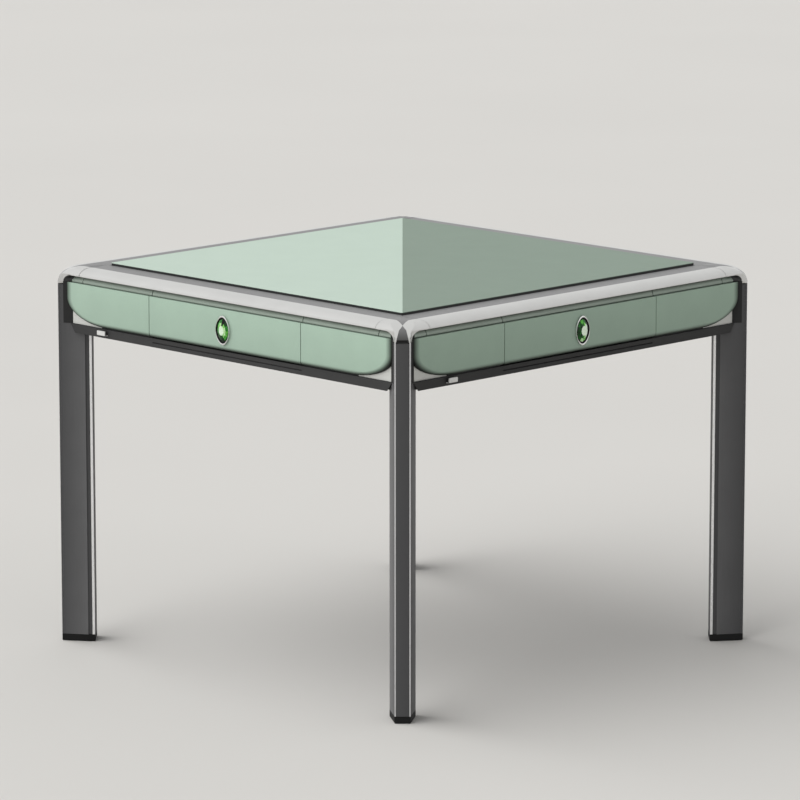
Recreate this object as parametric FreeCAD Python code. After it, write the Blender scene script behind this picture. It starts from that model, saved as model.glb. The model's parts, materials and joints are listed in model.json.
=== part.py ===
"""Automatic mahjong table with four drawers and a flat dining cover.

The frame is the floor under the middle of the table: +Z up, sides parallel to X and Y.
Side 1 faces -Y, side 2 +X, side 3 +Y and side 4 -X. Corner 1 lies between sides 1 and 2,
and the others follow the same way round. Pieces of side 1 and corner 1 are drawn once
and turned by quarter turns. All sizes are millimetres.
"""
import FreeCAD, Part
import math
import os

V = FreeCAD.Vector
UP = V(0, 0, 1)
ROOT2 = math.sqrt(2.0)
BIG = 2000.0        # reach of a cutting tool that goes past everything
OVER = 1.0          # how far a cutting tool runs past a face
TOUCH = 1e-4
HAIR = 0.3          # gap between pieces that only lie beside each other
SEAM_GAP = 0.5      # open seam between rim pieces, and round the felt

# ---- driving dimensions ----------------------------------------------------------------
OVERALL_WIDTH = 980.0       # across the outer faces of two neighbouring legs
OVERALL_HEIGHT = 760.0      # floor to the top of the cover

# how far each line lies inside the overall width, on every side
BAND_SETBACK = 6.0          # silver band of the rim
FRONT_SETBACK = 8.0         # outer face of the drawer fronts
RAIL_SETBACK = 14.0
SKIRT_SETBACK = 17.0        # outer face of the sheet behind the fixed fronts
SKIRT_THICKNESS = 2.0
SKIRT_LEDGE = 6.0           # how far the sheet's folded top reaches in under the deck

# rim, castings and cover
RIM_SHOW = 78.0             # width of rim seen from above, from band to cover
RIM_LEDGE = 11.0            # how far the rim reaches in under the cover
RIM_STEP = 3.0              # underside of the band above the rim's seat on the deck
BAND_HEIGHT = 15.0
BAND_REACH = 30.0           # how far the rounded shoulder reaches in over the rim
COVER_PROUD = 5.0
COVER_THICKNESS = 10.0
COVER_SKIN = 1.0
COVER_PLAY = 1.0
COVER_CORNER_RADIUS = 4.0
CASTING_OVERLAP = 6.0       # from the cover's corner to the seam of a casting
CASTING_DROP = 18.0         # underside of the band down to the foot of a casting
CASTING_LIP = 2.0           # straight stretch under the casting's concave sweeps
CASTING_DOME_REACH = 56.0
CASTING_NOSE_LIP = 3.0      # straight stretch at the foot of the casting's nose

# legs
SHOE_HEIGHT = 14.0
SHOE_CHAMFER = 1.5
LEG_DEPTH = 67.0
LEG_NOSE_HALF = 15.0
LEG_FLARE_HALF = 24.5
LEG_BACK_LENGTH = 14.0      # straight, stepped-in part behind the flared flanks
LEG_BACK_STEP = 2.0
LEG_WALL = 4.0
LEG_WEB = 24.0              # solid rear part of the extrusion, which takes the bolts
LEG_END_CAP = 10.0          # solid top of the leg under its neck
LEG_TRIM_WIDTH = 2.5
LEG_TRIM_DEPTH = 3.5
LEG_BACK_TRIM_WIDTH = 5.0
LEG_BACK_TRIM_MARGIN = 1.0  # from the rear trim to the leg's back face
LEG_BACK_TRIM_SINK = 2.0
LEG_BACK_TRIM_PROUD = 1.5
NECK_HEIGHT = 2.0           # shadow gap between a leg and its casting
NECK_INSET = 2.0

# fronts, drawers and knobs
DRAWER_FRONT_THICKNESS = 17.5
FRONT_HEIGHT = 80.5
FRONT_RAIL_GAP = 2.0
FRONT_END_GAP = 1.0         # fronts to the legs' flanks
FRONT_ROUND_LONG = 110.0    # the big round lower corner, along the side
FRONT_ROUND_TALL = 50.0
FRONT_EDGE_RADIUS = 8.0
FRONT_GAP = 1.5
DRAWER_FRONT_WIDTH = 421.0
DRAWER_REST_GAP = 0.5       # drawer front to its guides when closed
DRAWER_FRONT_LAP = 4.5      # drawer front past the outside of its guides
DRAWER_RISE = 12.0          # rails' top to the underside of a drawer
DRAWER_HEADROOM = 14.0      # drawer's brim to the deck
DRAWER_TO_LIFT = 12.5       # drawer's back to the platform behind it
DRAWER_WALL = 2.5
GUIDE_PLAY = 0.3
GUIDE_WEB = 9.7
GUIDE_FLANGE = 4.0
GUIDE_LIP = 6.0
STRIP_GAP = 1.5
STRIP_TOP_SETBACK = 20.0
STRIP_FOOT_SETBACK = 15.5
STRIP_FOOT_HEIGHT = 2.5
BEZEL_TALL = 58.0
BEZEL_WIDE = 38.0
BEZEL_FOOT_SHARE = 0.8
BEZEL_HEIGHT = 4.5
BEZEL_FLARE_HEIGHT = 2.5
BEZEL_WALL = 2.5
BEZEL_POCKET = 3.0
GEM_PLAY = 0.2
GEM_GIRDLE = 1.5
GEM_CROWN = 4.0
GEM_TABLE_SHARE = 0.55
GEM_SIDES = 16

# rails, with their grooves and sockets
RAIL_HEIGHT = 18.0
RAIL_DEPTH = 36.0
RAIL_GROOVE_HALF = 208.0
RAIL_GROOVE_HEIGHT = 2.0
RAIL_GROOVE_DEPTH = 3.0
RAIL_GROOVE_RISE = 8.0
RAIL_BEVEL_TOP = 19.5       # from a corner's diagonal to the slanted rail end, at its top
RAIL_BEVEL_FOOT = 28.5
PORT_FROM_CORNER = 126.0
PORT_WIDTH = 24.0
PORT_HEIGHT = 10.5
PORT_RISE = 5.5
PORT_PROUD = 8.0
PORT_PLATE = 2.0

# bracket behind each leg
BRACKET_THICKNESS = 6.0
BRACKET_HALF = 44.0
BRACKET_TOP_GAP = 5.0
BOLT_SHANK_RADIUS = 4.0
BOLT_HOLE_PLAY = 0.1
BOLT_HEAD_RADIUS = 7.0
BOLT_HEAD_HEIGHT = 5.0
BOLT_LENGTH = 26.0
BOLT_SPACING = 26.0
BOLT_EDGE = 17.0            # bolt's axis to the bracket's top or bottom edge

# deck and lifts
DECK_THICKNESS = 10.0
FELT_THICKNESS = 1.5
CENTRE_HOLE_RADIUS = 150.0
LIFT_LENGTH = 480.0
LIFT_CORNER_LAND = 14.0     # end of a lift platform to the line of the next one's inner edge
LIFT_WIDTH = 52.0
LIFT_PLATE = 4.0
LIFT_SLOT_PLAY = 2.0
LIFT_WEB = 4.0
LIFT_WEB_DEPTH = 60.0
LIFT_TONGUE = 8.0
LIFT_GUIDE_LENGTH = 20.0
LIFT_GUIDE_WIDTH = 30.0
LIFT_GUIDE_HEIGHT = 50.0

# centre console
CAP_GAP = 2.0               # cap to the edge of the centre hole
CAP_RISE = 6.0              # deck's underside to the cap's underside
CAP_THICKNESS = 9.0
CAP_EDGE = 2.0
COLUMN_WALL = 5.0
DICE_WELL = 25.0            # cap's underside down to the floor the dice lie on
COLUMN_FLOOR_THICKNESS = 4.0
DOME_HOLE_RADIUS = 47.0
DOME_LAP = 5.0
DOME_FLANGE = 1.5
DOME_RISE = 6.0
DOME_WALL = 1.6
BUTTON_AT = 100.0
BUTTON_RADIUS = 8.0
BUTTON_POCKET = 5.0
BUTTON_TRAVEL = 1.5
BUTTON_PROUD = 2.5

# mixing machine
DRUM_TO_LIFT = 24.0
DRUM_WALL = 6.0
DRUM_SKIRT = 8.0            # drum wall below the turntable's underside
TURNTABLE_PLAY = 2.0
TURNTABLE_THICKNESS = 6.0
TURNTABLE_BOSS = 12.0
HUB_RADIUS = 74.0
HUB_WALL = 13.0
HUB_SHOULDER_STEP = 10.0
HUB_FLANGE_STEP = 11.0
HUB_FLANGE_HEIGHT = 4.0
HUB_PROUD = 14.0            # hub's top above the turntable
RUNNING_FIT = 0.05
THRUST_GAP = 0.1
ROLLER_INSET = 32.0         # turntable's edge to the middle of the roller
ROLLER_RADIUS = 15.0
ROLLER_WIDTH = 12.0
ROLLER_SHAFT = 3.0
ROLLER_SHAFT_LENGTH = 14.0
ROLLER_GAP = 0.2
ROLLER_FLOOR_GAP = 5.8
MOTOR_STEP = 0.5            # motor's radius is this much under the roller's
MOTOR_LENGTH = 52.0
MOTOR_TO_ROLLER = 3.0
MOTOR_FOOT_WIDTH = 34.0
MOTOR_FOOT_HEIGHT = 14.0
MOTOR_FOOT_INSET = 4.0

# bottom tray and mains box
TRAY_DROP = 16.0            # underside of the rails down to the underside of the tray
TRAY_SHEET = 3.0
TRAY_MARGIN = 40.0          # tray's wall to the rails' inner faces
TRAY_LAP = 15.0
TRAY_FLANGE_SHEET = 2.0
TRAY_CORNER_GAP = 3.0
BOX_MARGIN = 1.0
BOX_SIDE = 84.0
BOX_HEIGHT = 60.0
PANEL_HOLE_LONG = 72.0
PANEL_HOLE_WIDE = 40.0
FITTING_OFFSET = 17.0       # inlet and switch, either side of the box's middle
INLET_LONG = 28.0
INLET_WIDE = 20.0
INLET_DEPTH = 16.0
BLADE_LONG = 4.0
BLADE_WIDE = 2.0
BLADE_PITCH = 7.0
BLADE_HEIGHT = 12.0
ROCKER_LONG = 19.0
ROCKER_WIDE = 12.4
ROCKER_END_PLAY = 1.5
ROCKER_DEPTH = 5.0
ROCKER_DISH = 1.5
ROCKER_TILT = 8.0
ROCKER_PIVOT_RISE = 3.0
ROCKER_PIN_RADIUS = 1.5
ROCKER_PIN_REACH = 2.0      # pin past each side of the rocker, into the box
ROCKER_POCKET_DEPTH = 10.0

# ---- worked-out sizes ------------------------------------------------------------------
# half widths, from the middle of the table to a side
BAND_HALF = OVERALL_WIDTH / 2 - BAND_SETBACK
FRONT_HALF = OVERALL_WIDTH / 2 - FRONT_SETBACK
SKIRT_HALF = OVERALL_WIDTH / 2 - SKIRT_SETBACK
DRAWER_BACK = FRONT_HALF - DRAWER_FRONT_THICKNESS   # back face of a closed drawer front
DECK_HALF = DRAWER_BACK - DRAWER_REST_GAP
RAIL_HALF = OVERALL_WIDTH / 2 - RAIL_SETBACK
RAIL_INNER = RAIL_HALF - RAIL_DEPTH
STRIP_TOP_HALF = OVERALL_WIDTH / 2 - STRIP_TOP_SETBACK
STRIP_FOOT_HALF = OVERALL_WIDTH / 2 - STRIP_FOOT_SETBACK
COVER_HALF = BAND_HALF - RIM_SHOW
RIM_INNER_HALF = COVER_HALF - RIM_LEDGE
RIM_SEAM_HALF = COVER_HALF + CASTING_OVERLAP

# levels, from the top of the cover down
RIM_TOP = OVERALL_HEIGHT - COVER_PROUD
COVER_BOTTOM = OVERALL_HEIGHT - COVER_THICKNESS
BAND_BOTTOM = RIM_TOP - BAND_HEIGHT
CASTING_BOTTOM = BAND_BOTTOM - CASTING_DROP
CASTING_FILLET = CASTING_DROP - CASTING_LIP
LEG_TOP = CASTING_BOTTOM - NECK_HEIGHT
DECK_TOP = BAND_BOTTOM - RIM_STEP
DECK_BOTTOM = DECK_TOP - DECK_THICKNESS
FELT_TOP = DECK_TOP + FELT_THICKNESS
FRONT_TOP = DECK_BOTTOM - STRIP_GAP
FRONT_BOTTOM = FRONT_TOP - FRONT_HEIGHT
RAIL_TOP = FRONT_BOTTOM - FRONT_RAIL_GAP
RAIL_BOTTOM = RAIL_TOP - RAIL_HEIGHT
DRAWER_BOTTOM = RAIL_TOP + DRAWER_RISE
DRAWER_TOP = DECK_BOTTOM - DRAWER_HEADROOM
CAP_BOTTOM = DECK_BOTTOM + CAP_RISE
CAP_TOP = CAP_BOTTOM + CAP_THICKNESS
TRAY_FLOOR_BOTTOM = RAIL_BOTTOM - TRAY_DROP
TRAY_FLOOR_TOP = TRAY_FLOOR_BOTTOM + TRAY_SHEET
TURNTABLE_BOTTOM = TRAY_FLOOR_TOP + ROLLER_FLOOR_GAP + 2 * ROLLER_RADIUS + ROLLER_GAP
ROLLER_LEVEL = TURNTABLE_BOTTOM - ROLLER_RADIUS - ROLLER_GAP
HUB_TOP = TURNTABLE_BOTTOM + TURNTABLE_THICKNESS + HUB_PROUD

# legs and brackets, along a corner's diagonal
NOSE = OVERALL_WIDTH / ROOT2 - LEG_NOSE_HALF        # middle of the table to a leg's nose
LEG_BACK = NOSE - LEG_DEPTH
LEG_FLARE_DEPTH = LEG_DEPTH - LEG_BACK_LENGTH
LEG_SLOPE = (LEG_FLARE_HALF - LEG_NOSE_HALF) / LEG_FLARE_DEPTH
LEG_BACK_HALF = LEG_FLARE_HALF - LEG_BACK_STEP
BRACKET_FRONT = LEG_BACK - BRACKET_THICKNESS
DECK_CORNER = BRACKET_FRONT - HAIR
TRAY_CORNER = BRACKET_FRONT - TRAY_CORNER_GAP
BRACKET_HEIGHT = LEG_TOP - BRACKET_TOP_GAP - RAIL_TOP

# lifts and drawers
LIFT_AT = LIFT_LENGTH / 2 + LIFT_CORNER_LAND + LIFT_WIDTH / 2   # table's middle to a platform's
DRAWER_FRONT_HALF = DRAWER_FRONT_WIDTH / 2
GUIDE_OUTER_HALF = DRAWER_FRONT_HALF - DRAWER_FRONT_LAP
GUIDE_INNER_HALF = GUIDE_OUTER_HALF - GUIDE_WEB
DRAWER_HALF = GUIDE_INNER_HALF - GUIDE_PLAY
DRAWER_END = LIFT_AT + LIFT_WIDTH / 2 + DRAWER_TO_LIFT

# machine
DRUM_RADIUS = LIFT_AT - LIFT_WIDTH / 2 - DRUM_TO_LIFT
DRUM_INNER_RADIUS = DRUM_RADIUS - DRUM_WALL
TURNTABLE_RADIUS = DRUM_INNER_RADIUS - TURNTABLE_PLAY
HUB_BORE = HUB_RADIUS - HUB_WALL
HUB_SHOULDER = HUB_RADIUS + HUB_SHOULDER_STEP
HUB_FLANGE = HUB_SHOULDER + HUB_FLANGE_STEP
COLUMN_RADIUS = HUB_BORE - RUNNING_FIT
CAP_RADIUS = CENTRE_HOLE_RADIUS - CAP_GAP
DOME_SEAT_RADIUS = DOME_HOLE_RADIUS + DOME_LAP
ROLLER_AT = TURNTABLE_RADIUS - ROLLER_INSET
MOTOR_RADIUS = ROLLER_RADIUS - MOTOR_STEP
TRAY_HALF = RAIL_INNER - TRAY_MARGIN
TRAY_FLANGE_HALF = RAIL_INNER + TRAY_LAP
BOX_MIDDLE = TRAY_HALF - TRAY_SHEET - BOX_MARGIN - BOX_SIDE / 2


# ---- small helpers ---------------------------------------------------------------------
def block(x0, x1, y0, y1, z0, z1):
    """A box between two corners."""
    return Part.makeBox(x1 - x0, y1 - y0, z1 - z0, V(x0, y0, z0))


def disc(radius, z0, z1, x=0.0, y=0.0):
    """An upright cylinder."""
    return Part.makeCylinder(radius, z1 - z0, V(x, y, z0))


def ring(outer, inner, z0, z1):
    """An upright tube on the table's axis."""
    return disc(outer, z0, z1).cut(disc(inner, z0 - OVER, z1 + OVER))


def polygon_face(points):
    """A flat face through a closed run of points."""
    return Part.Face(Part.makePolygon(points + [points[0]]))


def plan_prism(points, z0, z1):
    """A plan outline, pairs of x and y, raised from z0 to z1."""
    face = polygon_face([V(x, y, z0) for x, y in points])
    return face.extrude(V(0, 0, z1 - z0))


def turn(shape, quarter):
    """A copy turned by whole quarter turns about the table's axis."""
    copy = shape.copy()
    copy.rotate(V(0, 0, 0), UP, 90.0 * quarter)
    return copy


def at_corner(shape):
    """A piece drawn with its nose along +X, turned to point at corner 1."""
    copy = shape.copy()
    copy.rotate(V(0, 0, 0), UP, -45.0)
    return copy


def mirror_x(shape):
    """The piece at the other end of side 1."""
    return shape.mirror(V(0, 0, 0), V(1, 0, 0))


def all_round(shape):
    """The same piece on all four sides, as separate solids."""
    solids = []
    for quarter in range(4):
        solids += turn(shape, quarter).Solids
    return Part.makeCompound(solids)


def both_ends(shape):
    """A piece and its mirror image at the other end of side 1."""
    return Part.makeCompound(shape.Solids + mirror_x(shape).Solids)


PARTS = {}


def add(name, shape):
    """Keeps a finished node, each of its solids closed and valid."""
    for solid in shape.Solids:
        assert solid.isValid() and solid.isClosed() and solid.Volume > 1.0, name
    PARTS[name] = shape


def add_four(name, shape):
    """One node for each side or corner."""
    for quarter in range(4):
        add("%s_%d" % (name, quarter + 1), turn(shape, quarter))


# ---- legs ------------------------------------------------------------------------------
def mirrored_outline(half):
    """Closes a half outline, pairs with y of 0 or more, by its mirror image."""
    return half + [(x, -y) for x, y in reversed(half) if y > 0]


def leg_envelope(clearance):
    """Plan outline of a whole leg with its trims, grown by a clearance."""
    half = [(NOSE + clearance, LEG_NOSE_HALF + clearance),
            (NOSE - LEG_FLARE_DEPTH, LEG_FLARE_HALF + clearance),
            (LEG_BACK - clearance, LEG_FLARE_HALF + clearance)]
    return mirrored_outline(half)


def leg_section():
    """Plan outline of the dark extrusion, with its four seats for bright trims."""
    seat_back = LEG_BACK + LEG_BACK_TRIM_MARGIN
    seat_front = seat_back + LEG_BACK_TRIM_WIDTH
    seat = LEG_BACK_HALF - LEG_BACK_TRIM_SINK
    half = [(NOSE, LEG_NOSE_HALF - LEG_TRIM_WIDTH),
            (NOSE - LEG_TRIM_DEPTH, LEG_NOSE_HALF - LEG_TRIM_WIDTH),
            (NOSE - LEG_TRIM_DEPTH, LEG_NOSE_HALF + LEG_SLOPE * LEG_TRIM_DEPTH),
            (NOSE - LEG_FLARE_DEPTH, LEG_FLARE_HALF),
            (NOSE - LEG_FLARE_DEPTH, LEG_BACK_HALF),
            (seat_front, LEG_BACK_HALF),
            (seat_front, seat),
            (seat_back, seat),
            (seat_back, LEG_BACK_HALF),
            (LEG_BACK, LEG_BACK_HALF)]
    return mirrored_outline(half)


def bolt_places():
    """Across and up places of the bolts through a bracket into its leg."""
    rises = (BOLT_EDGE, BRACKET_HEIGHT - BOLT_EDGE)
    return [(side * BOLT_SPACING / 2, RAIL_TOP + rise) for side in (-1, 1) for rise in rises]


def bolt_bars(radius, start, length):
    """Round bars along the bolts' axes, drawn for a nose along +X."""
    return [Part.makeCylinder(radius, length, V(start, y, z), V(1, 0, 0)) for y, z in bolt_places()]


def leg_cavity():
    """The hollow inside the extrusion, open at the foot where the shoe closes it."""
    front = LEG_TRIM_DEPTH + LEG_WALL
    rear = LEG_DEPTH - LEG_WEB
    half = [(NOSE - depth, LEG_NOSE_HALF + LEG_SLOPE * depth - LEG_WALL)
            for depth in (front, rear)]
    return plan_prism(mirrored_outline(half), SHOE_HEIGHT - OVER, LEG_TOP - LEG_END_CAP)


def make_leg():
    post = plan_prism(leg_section(), SHOE_HEIGHT, LEG_TOP)
    neck_half = LEG_NOSE_HALF - LEG_TRIM_WIDTH - NECK_INSET
    neck = block(LEG_BACK + NECK_INSET, NOSE - NECK_INSET, -neck_half, neck_half,
                 LEG_TOP, CASTING_BOTTOM)
    leg = post.fuse(neck).cut(leg_cavity()).removeSplitter()
    reach = BOLT_LENGTH - BRACKET_THICKNESS + OVER
    for bore in bolt_bars(BOLT_SHANK_RADIUS + BOLT_HOLE_PLAY, LEG_BACK, reach):
        leg = leg.cut(bore)
    return at_corner(leg)


def make_leg_trims():
    """The bright strips at the nose's two edges and along the back of both flanks."""
    inner = LEG_NOSE_HALF - LEG_TRIM_WIDTH
    nose = [(NOSE, inner), (NOSE, LEG_NOSE_HALF),
            (NOSE - LEG_TRIM_DEPTH, LEG_NOSE_HALF + LEG_SLOPE * LEG_TRIM_DEPTH),
            (NOSE - LEG_TRIM_DEPTH, inner)]
    rear = LEG_BACK + LEG_BACK_TRIM_MARGIN
    seat = LEG_BACK_HALF - LEG_BACK_TRIM_SINK
    proud = LEG_BACK_HALF + LEG_BACK_TRIM_PROUD
    back = [(rear, seat), (rear, proud),
            (rear + LEG_BACK_TRIM_WIDTH, proud), (rear + LEG_BACK_TRIM_WIDTH, seat)]
    strips = []
    for outline in (nose, back):
        strip = plan_prism(outline, SHOE_HEIGHT, LEG_TOP)
        strips += [strip, strip.mirror(V(0, 0, 0), V(0, 1, 0))]
    return all_round(at_corner(Part.makeCompound(strips)))


def make_leg_shoes():
    """Moulded feet that close the bottom of the legs."""
    shoe = plan_prism(leg_envelope(0.0), 0.0, SHOE_HEIGHT)
    rim = [edge for edge in shoe.Edges if edge.BoundBox.ZMax < TOUCH]
    return all_round(at_corner(shoe.makeChamfer(SHOE_CHAMFER, rim)))


def end_trimmer(clearance):
    """A tool that ends a piece of side 1 along the flank of corner 1's leg."""
    beyond = NOSE + LEG_FLARE_HALF
    outline = [(beyond, LEG_SLOPE * LEG_FLARE_HALF - LEG_NOSE_HALF - clearance),
               (NOSE - LEG_FLARE_DEPTH, -LEG_FLARE_HALF - clearance),
               (LEG_BACK - clearance, -LEG_FLARE_HALF - clearance),
               (LEG_BACK - clearance, BIG), (beyond, BIG)]
    return at_corner(plan_prism(outline, 0.0, OVERALL_HEIGHT))


def flank_end(half, clearance):
    """How far along side 1 a face at a half width can run before corner 1's leg."""
    across = LEG_NOSE_HALF + clearance + LEG_SLOPE * NOSE
    return (half * (1 + LEG_SLOPE) - ROOT2 * across) / (1 - LEG_SLOPE)


def trim_ends(shape, clearance):
    """Cuts both ends of a side 1 piece back to the legs' flanks."""
    tool = end_trimmer(clearance)
    return shape.cut(tool).cut(mirror_x(tool))


# ---- outlines with round stretches -----------------------------------------------------
def round_edge(cx, cy, rx, ry, start, end):
    """Part of an ellipse about (cx, cy), wider than tall, between two angles."""
    ellipse = Part.Ellipse(V(cx, cy, 0), rx, ry)
    return Part.ArcOfEllipse(ellipse, math.radians(start), math.radians(end)).toShape()


def outline_face(items):
    """A flat face from points and round edges, joined in order by straight lines."""
    edges = []
    first = V(items[0][0], items[0][1], 0)
    last = first
    for item in items[1:]:
        is_round = not isinstance(item, tuple)
        ends = [v.Point for v in item.Vertexes] if is_round else [V(item[0], item[1], 0)] * 2
        if last.distanceToPoint(ends[1]) < last.distanceToPoint(ends[0]):
            ends.reverse()
        if last.distanceToPoint(ends[0]) > TOUCH:
            edges.append(Part.makeLine(last, ends[0]))
        if is_round:
            edges.append(item)
        last = ends[1]
    if last.distanceToPoint(first) > TOUCH:
        edges.append(Part.makeLine(last, first))
    return Part.Face(Part.Wire(edges))


def stand_up(face):
    """Turns a drawing of (across, up) from the floor plan into the XZ plane."""
    copy = face.copy()
    copy.rotate(V(0, 0, 0), V(1, 0, 0), 90.0)
    return copy


def side_run(items, x0, x1):
    """A side 1 bar whose section is drawn as (half width, level), from x0 to x1."""
    face = stand_up(outline_face(items))
    face.rotate(V(0, 0, 0), UP, -90.0)
    face.translate(V(x0, 0, 0))
    return face.extrude(V(x1 - x0, 0, 0))


def front_plate(items, outer, inner):
    """A side 1 plate whose face is drawn as (x, level), between two half widths."""
    face = stand_up(outline_face(items))
    face.translate(V(0, -outer, 0))
    return face.extrude(V(0, outer - inner, 0))


def across_nose(items, half):
    """A bar across a corner, its section drawn as (distance out, level)."""
    face = stand_up(outline_face(items))
    face.translate(V(0, -half, 0))
    return face.extrude(V(0, 2 * half, 0))


# ---- rim, castings and cover -----------------------------------------------------------
def shoulder_items(inner):
    """Section of the rim outside a half width: flat top, rounded silver band, ledge below."""
    band = round_edge(BAND_HALF - BAND_REACH, BAND_BOTTOM, BAND_REACH, BAND_HEIGHT, 0, 90)
    return [(inner, DECK_TOP), (DECK_HALF, DECK_TOP), (DECK_HALF, BAND_BOTTOM),
            (BAND_HALF, BAND_BOTTOM), band, (inner, RIM_TOP)]


def make_top_rim():
    """The bar of rim over a side, rebated inside for the cover and mitred at its ends."""
    seam = RIM_SEAM_HALF - SEAM_GAP / 2
    rebate = COVER_HALF + COVER_PLAY
    bar = side_run(shoulder_items(RIM_INNER_HALF), -seam, seam)
    bar = bar.cut(block(-BIG, BIG, -rebate, 0, COVER_BOTTOM, OVERALL_HEIGHT))
    lead = seam - RIM_SEAM_HALF
    inner = RIM_INNER_HALF - SEAM_GAP
    right = [(inner + lead, -inner), (RIM_SEAM_HALF + lead, -RIM_SEAM_HALF),
             (RIM_SEAM_HALF + lead, -OVERALL_WIDTH)]
    plan = right + [(-x, y) for x, y in reversed(right)]
    return bar.common(plan_prism(plan, DECK_BOTTOM, OVERALL_HEIGHT))


def casting_fillet():
    """The concave sweep under the band beside a leg's head, drawn for a nose along +X."""
    inner = LEG_NOSE_HALF + NECK_INSET
    edge = round_edge(inner + CASTING_FILLET, BAND_BOTTOM - CASTING_FILLET,
                      CASTING_FILLET, CASTING_FILLET, 90, 180)
    top = BAND_BOTTOM + NECK_HEIGHT
    face = stand_up(outline_face([(inner - NECK_INSET, top), (inner - NECK_INSET, CASTING_BOTTOM),
                                  (inner, CASTING_BOTTOM), edge, (inner + CASTING_FILLET, top)]))
    face.rotate(V(0, 0, 0), UP, 90.0)
    face.translate(V(LEG_BACK, 0, 0))
    return face.extrude(V(LEG_DEPTH, 0, 0))


def casting_dome():
    """Everything under the casting's swept outline, drawn for a nose along +X."""
    foot = CASTING_BOTTOM + CASTING_NOSE_LIP
    inner = RIM_SEAM_HALF
    sweep = round_edge(NOSE - CASTING_DOME_REACH, foot, CASTING_DOME_REACH, RIM_TOP - foot, 0, 90)
    items = [(inner, CASTING_BOTTOM), (NOSE, CASTING_BOTTOM), sweep, (inner, RIM_TOP)]
    return across_nose(items, COVER_HALF)


def make_corner_casting():
    """The cast corner that joins two rim bars and sweeps down into a leg."""
    start = RIM_SEAM_HALF + SEAM_GAP / 2
    items = shoulder_items(start)
    corner = side_run(items, start, BAND_HALF)
    corner = corner.common(turn(side_run(items, -BAND_HALF, -start), 1))
    head = plan_prism(leg_envelope(0.0), CASTING_BOTTOM, RIM_TOP)
    fillet = casting_fillet()
    sweeps = fillet.fuse(fillet.mirror(V(0, 0, 0), V(0, 1, 0)))
    square = block(-BAND_HALF, BAND_HALF, -BAND_HALF, BAND_HALF, CASTING_BOTTOM, RIM_TOP)
    body = corner.fuse(at_corner(sweeps).common(square)).fuse(at_corner(head))
    body = body.common(at_corner(casting_dome()))
    return body.common(block(start, BIG, -BIG, -start, CASTING_BOTTOM, RIM_TOP)).removeSplitter()


def rounded_square(half, radius, z0, z1):
    """A square plate with rounded corners."""
    plate = block(-half, half, -half, half, z0, z1)
    uprights = [edge for edge in plate.Edges if edge.BoundBox.ZLength > (z1 - z0) / 2]
    return plate.makeFillet(radius, uprights)


def make_cover():
    """The dining board and its two thin faces, split along the corner 1 diagonal."""
    skin_bottom = OVERALL_HEIGHT - COVER_SKIN
    board = rounded_square(COVER_HALF, COVER_CORNER_RADIUS, COVER_BOTTOM, skin_bottom)
    skin = rounded_square(COVER_HALF, COVER_CORNER_RADIUS, skin_bottom, OVERALL_HEIGHT)
    light = plan_prism([(BIG, -BIG), (-BIG, BIG), (-BIG, -BIG)], COVER_BOTTOM, OVERALL_HEIGHT)
    add("cover_board", board)
    add("cover_light_half", skin.common(light))
    add("cover_dark_half", skin.cut(light))


# ---- rails, skirts and brackets ---------------------------------------------------------
def make_base_rail():
    """A dark rail under one side, grooved along the middle and bevelled at the legs."""
    items = [(RAIL_INNER, RAIL_BOTTOM), (RAIL_HALF, RAIL_BOTTOM), (RAIL_HALF, RAIL_TOP),
             (RAIL_INNER, RAIL_TOP)]
    rail = trim_ends(side_run(items, -RAIL_HALF, RAIL_HALF), 0.0)
    floor = RAIL_HALF - RAIL_GROOVE_DEPTH
    level = RAIL_BOTTOM + RAIL_GROOVE_RISE
    rail = rail.cut(block(-RAIL_GROOVE_HALF, RAIL_GROOVE_HALF, -BAND_HALF, -floor,
                          level, level + RAIL_GROOVE_HEIGHT))
    bevel = polygon_face([V(0, BIG, RAIL_TOP), V(0, -RAIL_BEVEL_TOP, RAIL_TOP),
                          V(0, -RAIL_BEVEL_FOOT, RAIL_BOTTOM), V(0, BIG, RAIL_BOTTOM)])
    bevel.translate(V(LEG_BACK, 0, 0))
    tool = at_corner(bevel.extrude(V(BIG, 0, 0)))
    tool = tool.common(block(-BIG, BIG, -BIG, -DECK_HALF, 0, OVERALL_HEIGHT))
    return rail.cut(tool).cut(mirror_x(tool))


def make_side_skirts():
    """Pale sheet walls behind the fixed fronts, folded in at the top to carry the deck."""
    inner = SKIRT_HALF - SKIRT_THICKNESS
    ledge = DECK_HALF - SKIRT_LEDGE
    fold = DECK_BOTTOM - SKIRT_THICKNESS
    items = [(inner, RAIL_TOP), (SKIRT_HALF, RAIL_TOP), (SKIRT_HALF, DECK_BOTTOM),
             (ledge, DECK_BOTTOM), (ledge, fold), (inner, fold)]
    skirt = side_run(items, DRAWER_FRONT_HALF + FRONT_GAP, RAIL_HALF)
    return all_round(both_ends(trim_ends(skirt, HAIR)))


def make_brackets():
    """The plate behind each leg that ties it to its two rails."""
    plate = block(BRACKET_FRONT, LEG_BACK, -BRACKET_HALF, BRACKET_HALF,
                  RAIL_TOP, RAIL_TOP + BRACKET_HEIGHT)
    for hole in bolt_bars(BOLT_SHANK_RADIUS + BOLT_HOLE_PLAY, BRACKET_FRONT - OVER, BOLT_LENGTH):
        plate = plate.cut(hole)
    return all_round(at_corner(plate))


def make_bolts():
    """The bolts that pull each leg against its bracket."""
    heads = bolt_bars(BOLT_HEAD_RADIUS, BRACKET_FRONT - BOLT_HEAD_HEIGHT, BOLT_HEAD_HEIGHT)
    shanks = bolt_bars(BOLT_SHANK_RADIUS, BRACKET_FRONT, BOLT_LENGTH)
    bolts = [head.fuse(shank).removeSplitter() for head, shank in zip(heads, shanks)]
    return all_round(at_corner(Part.makeCompound(bolts)))


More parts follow.
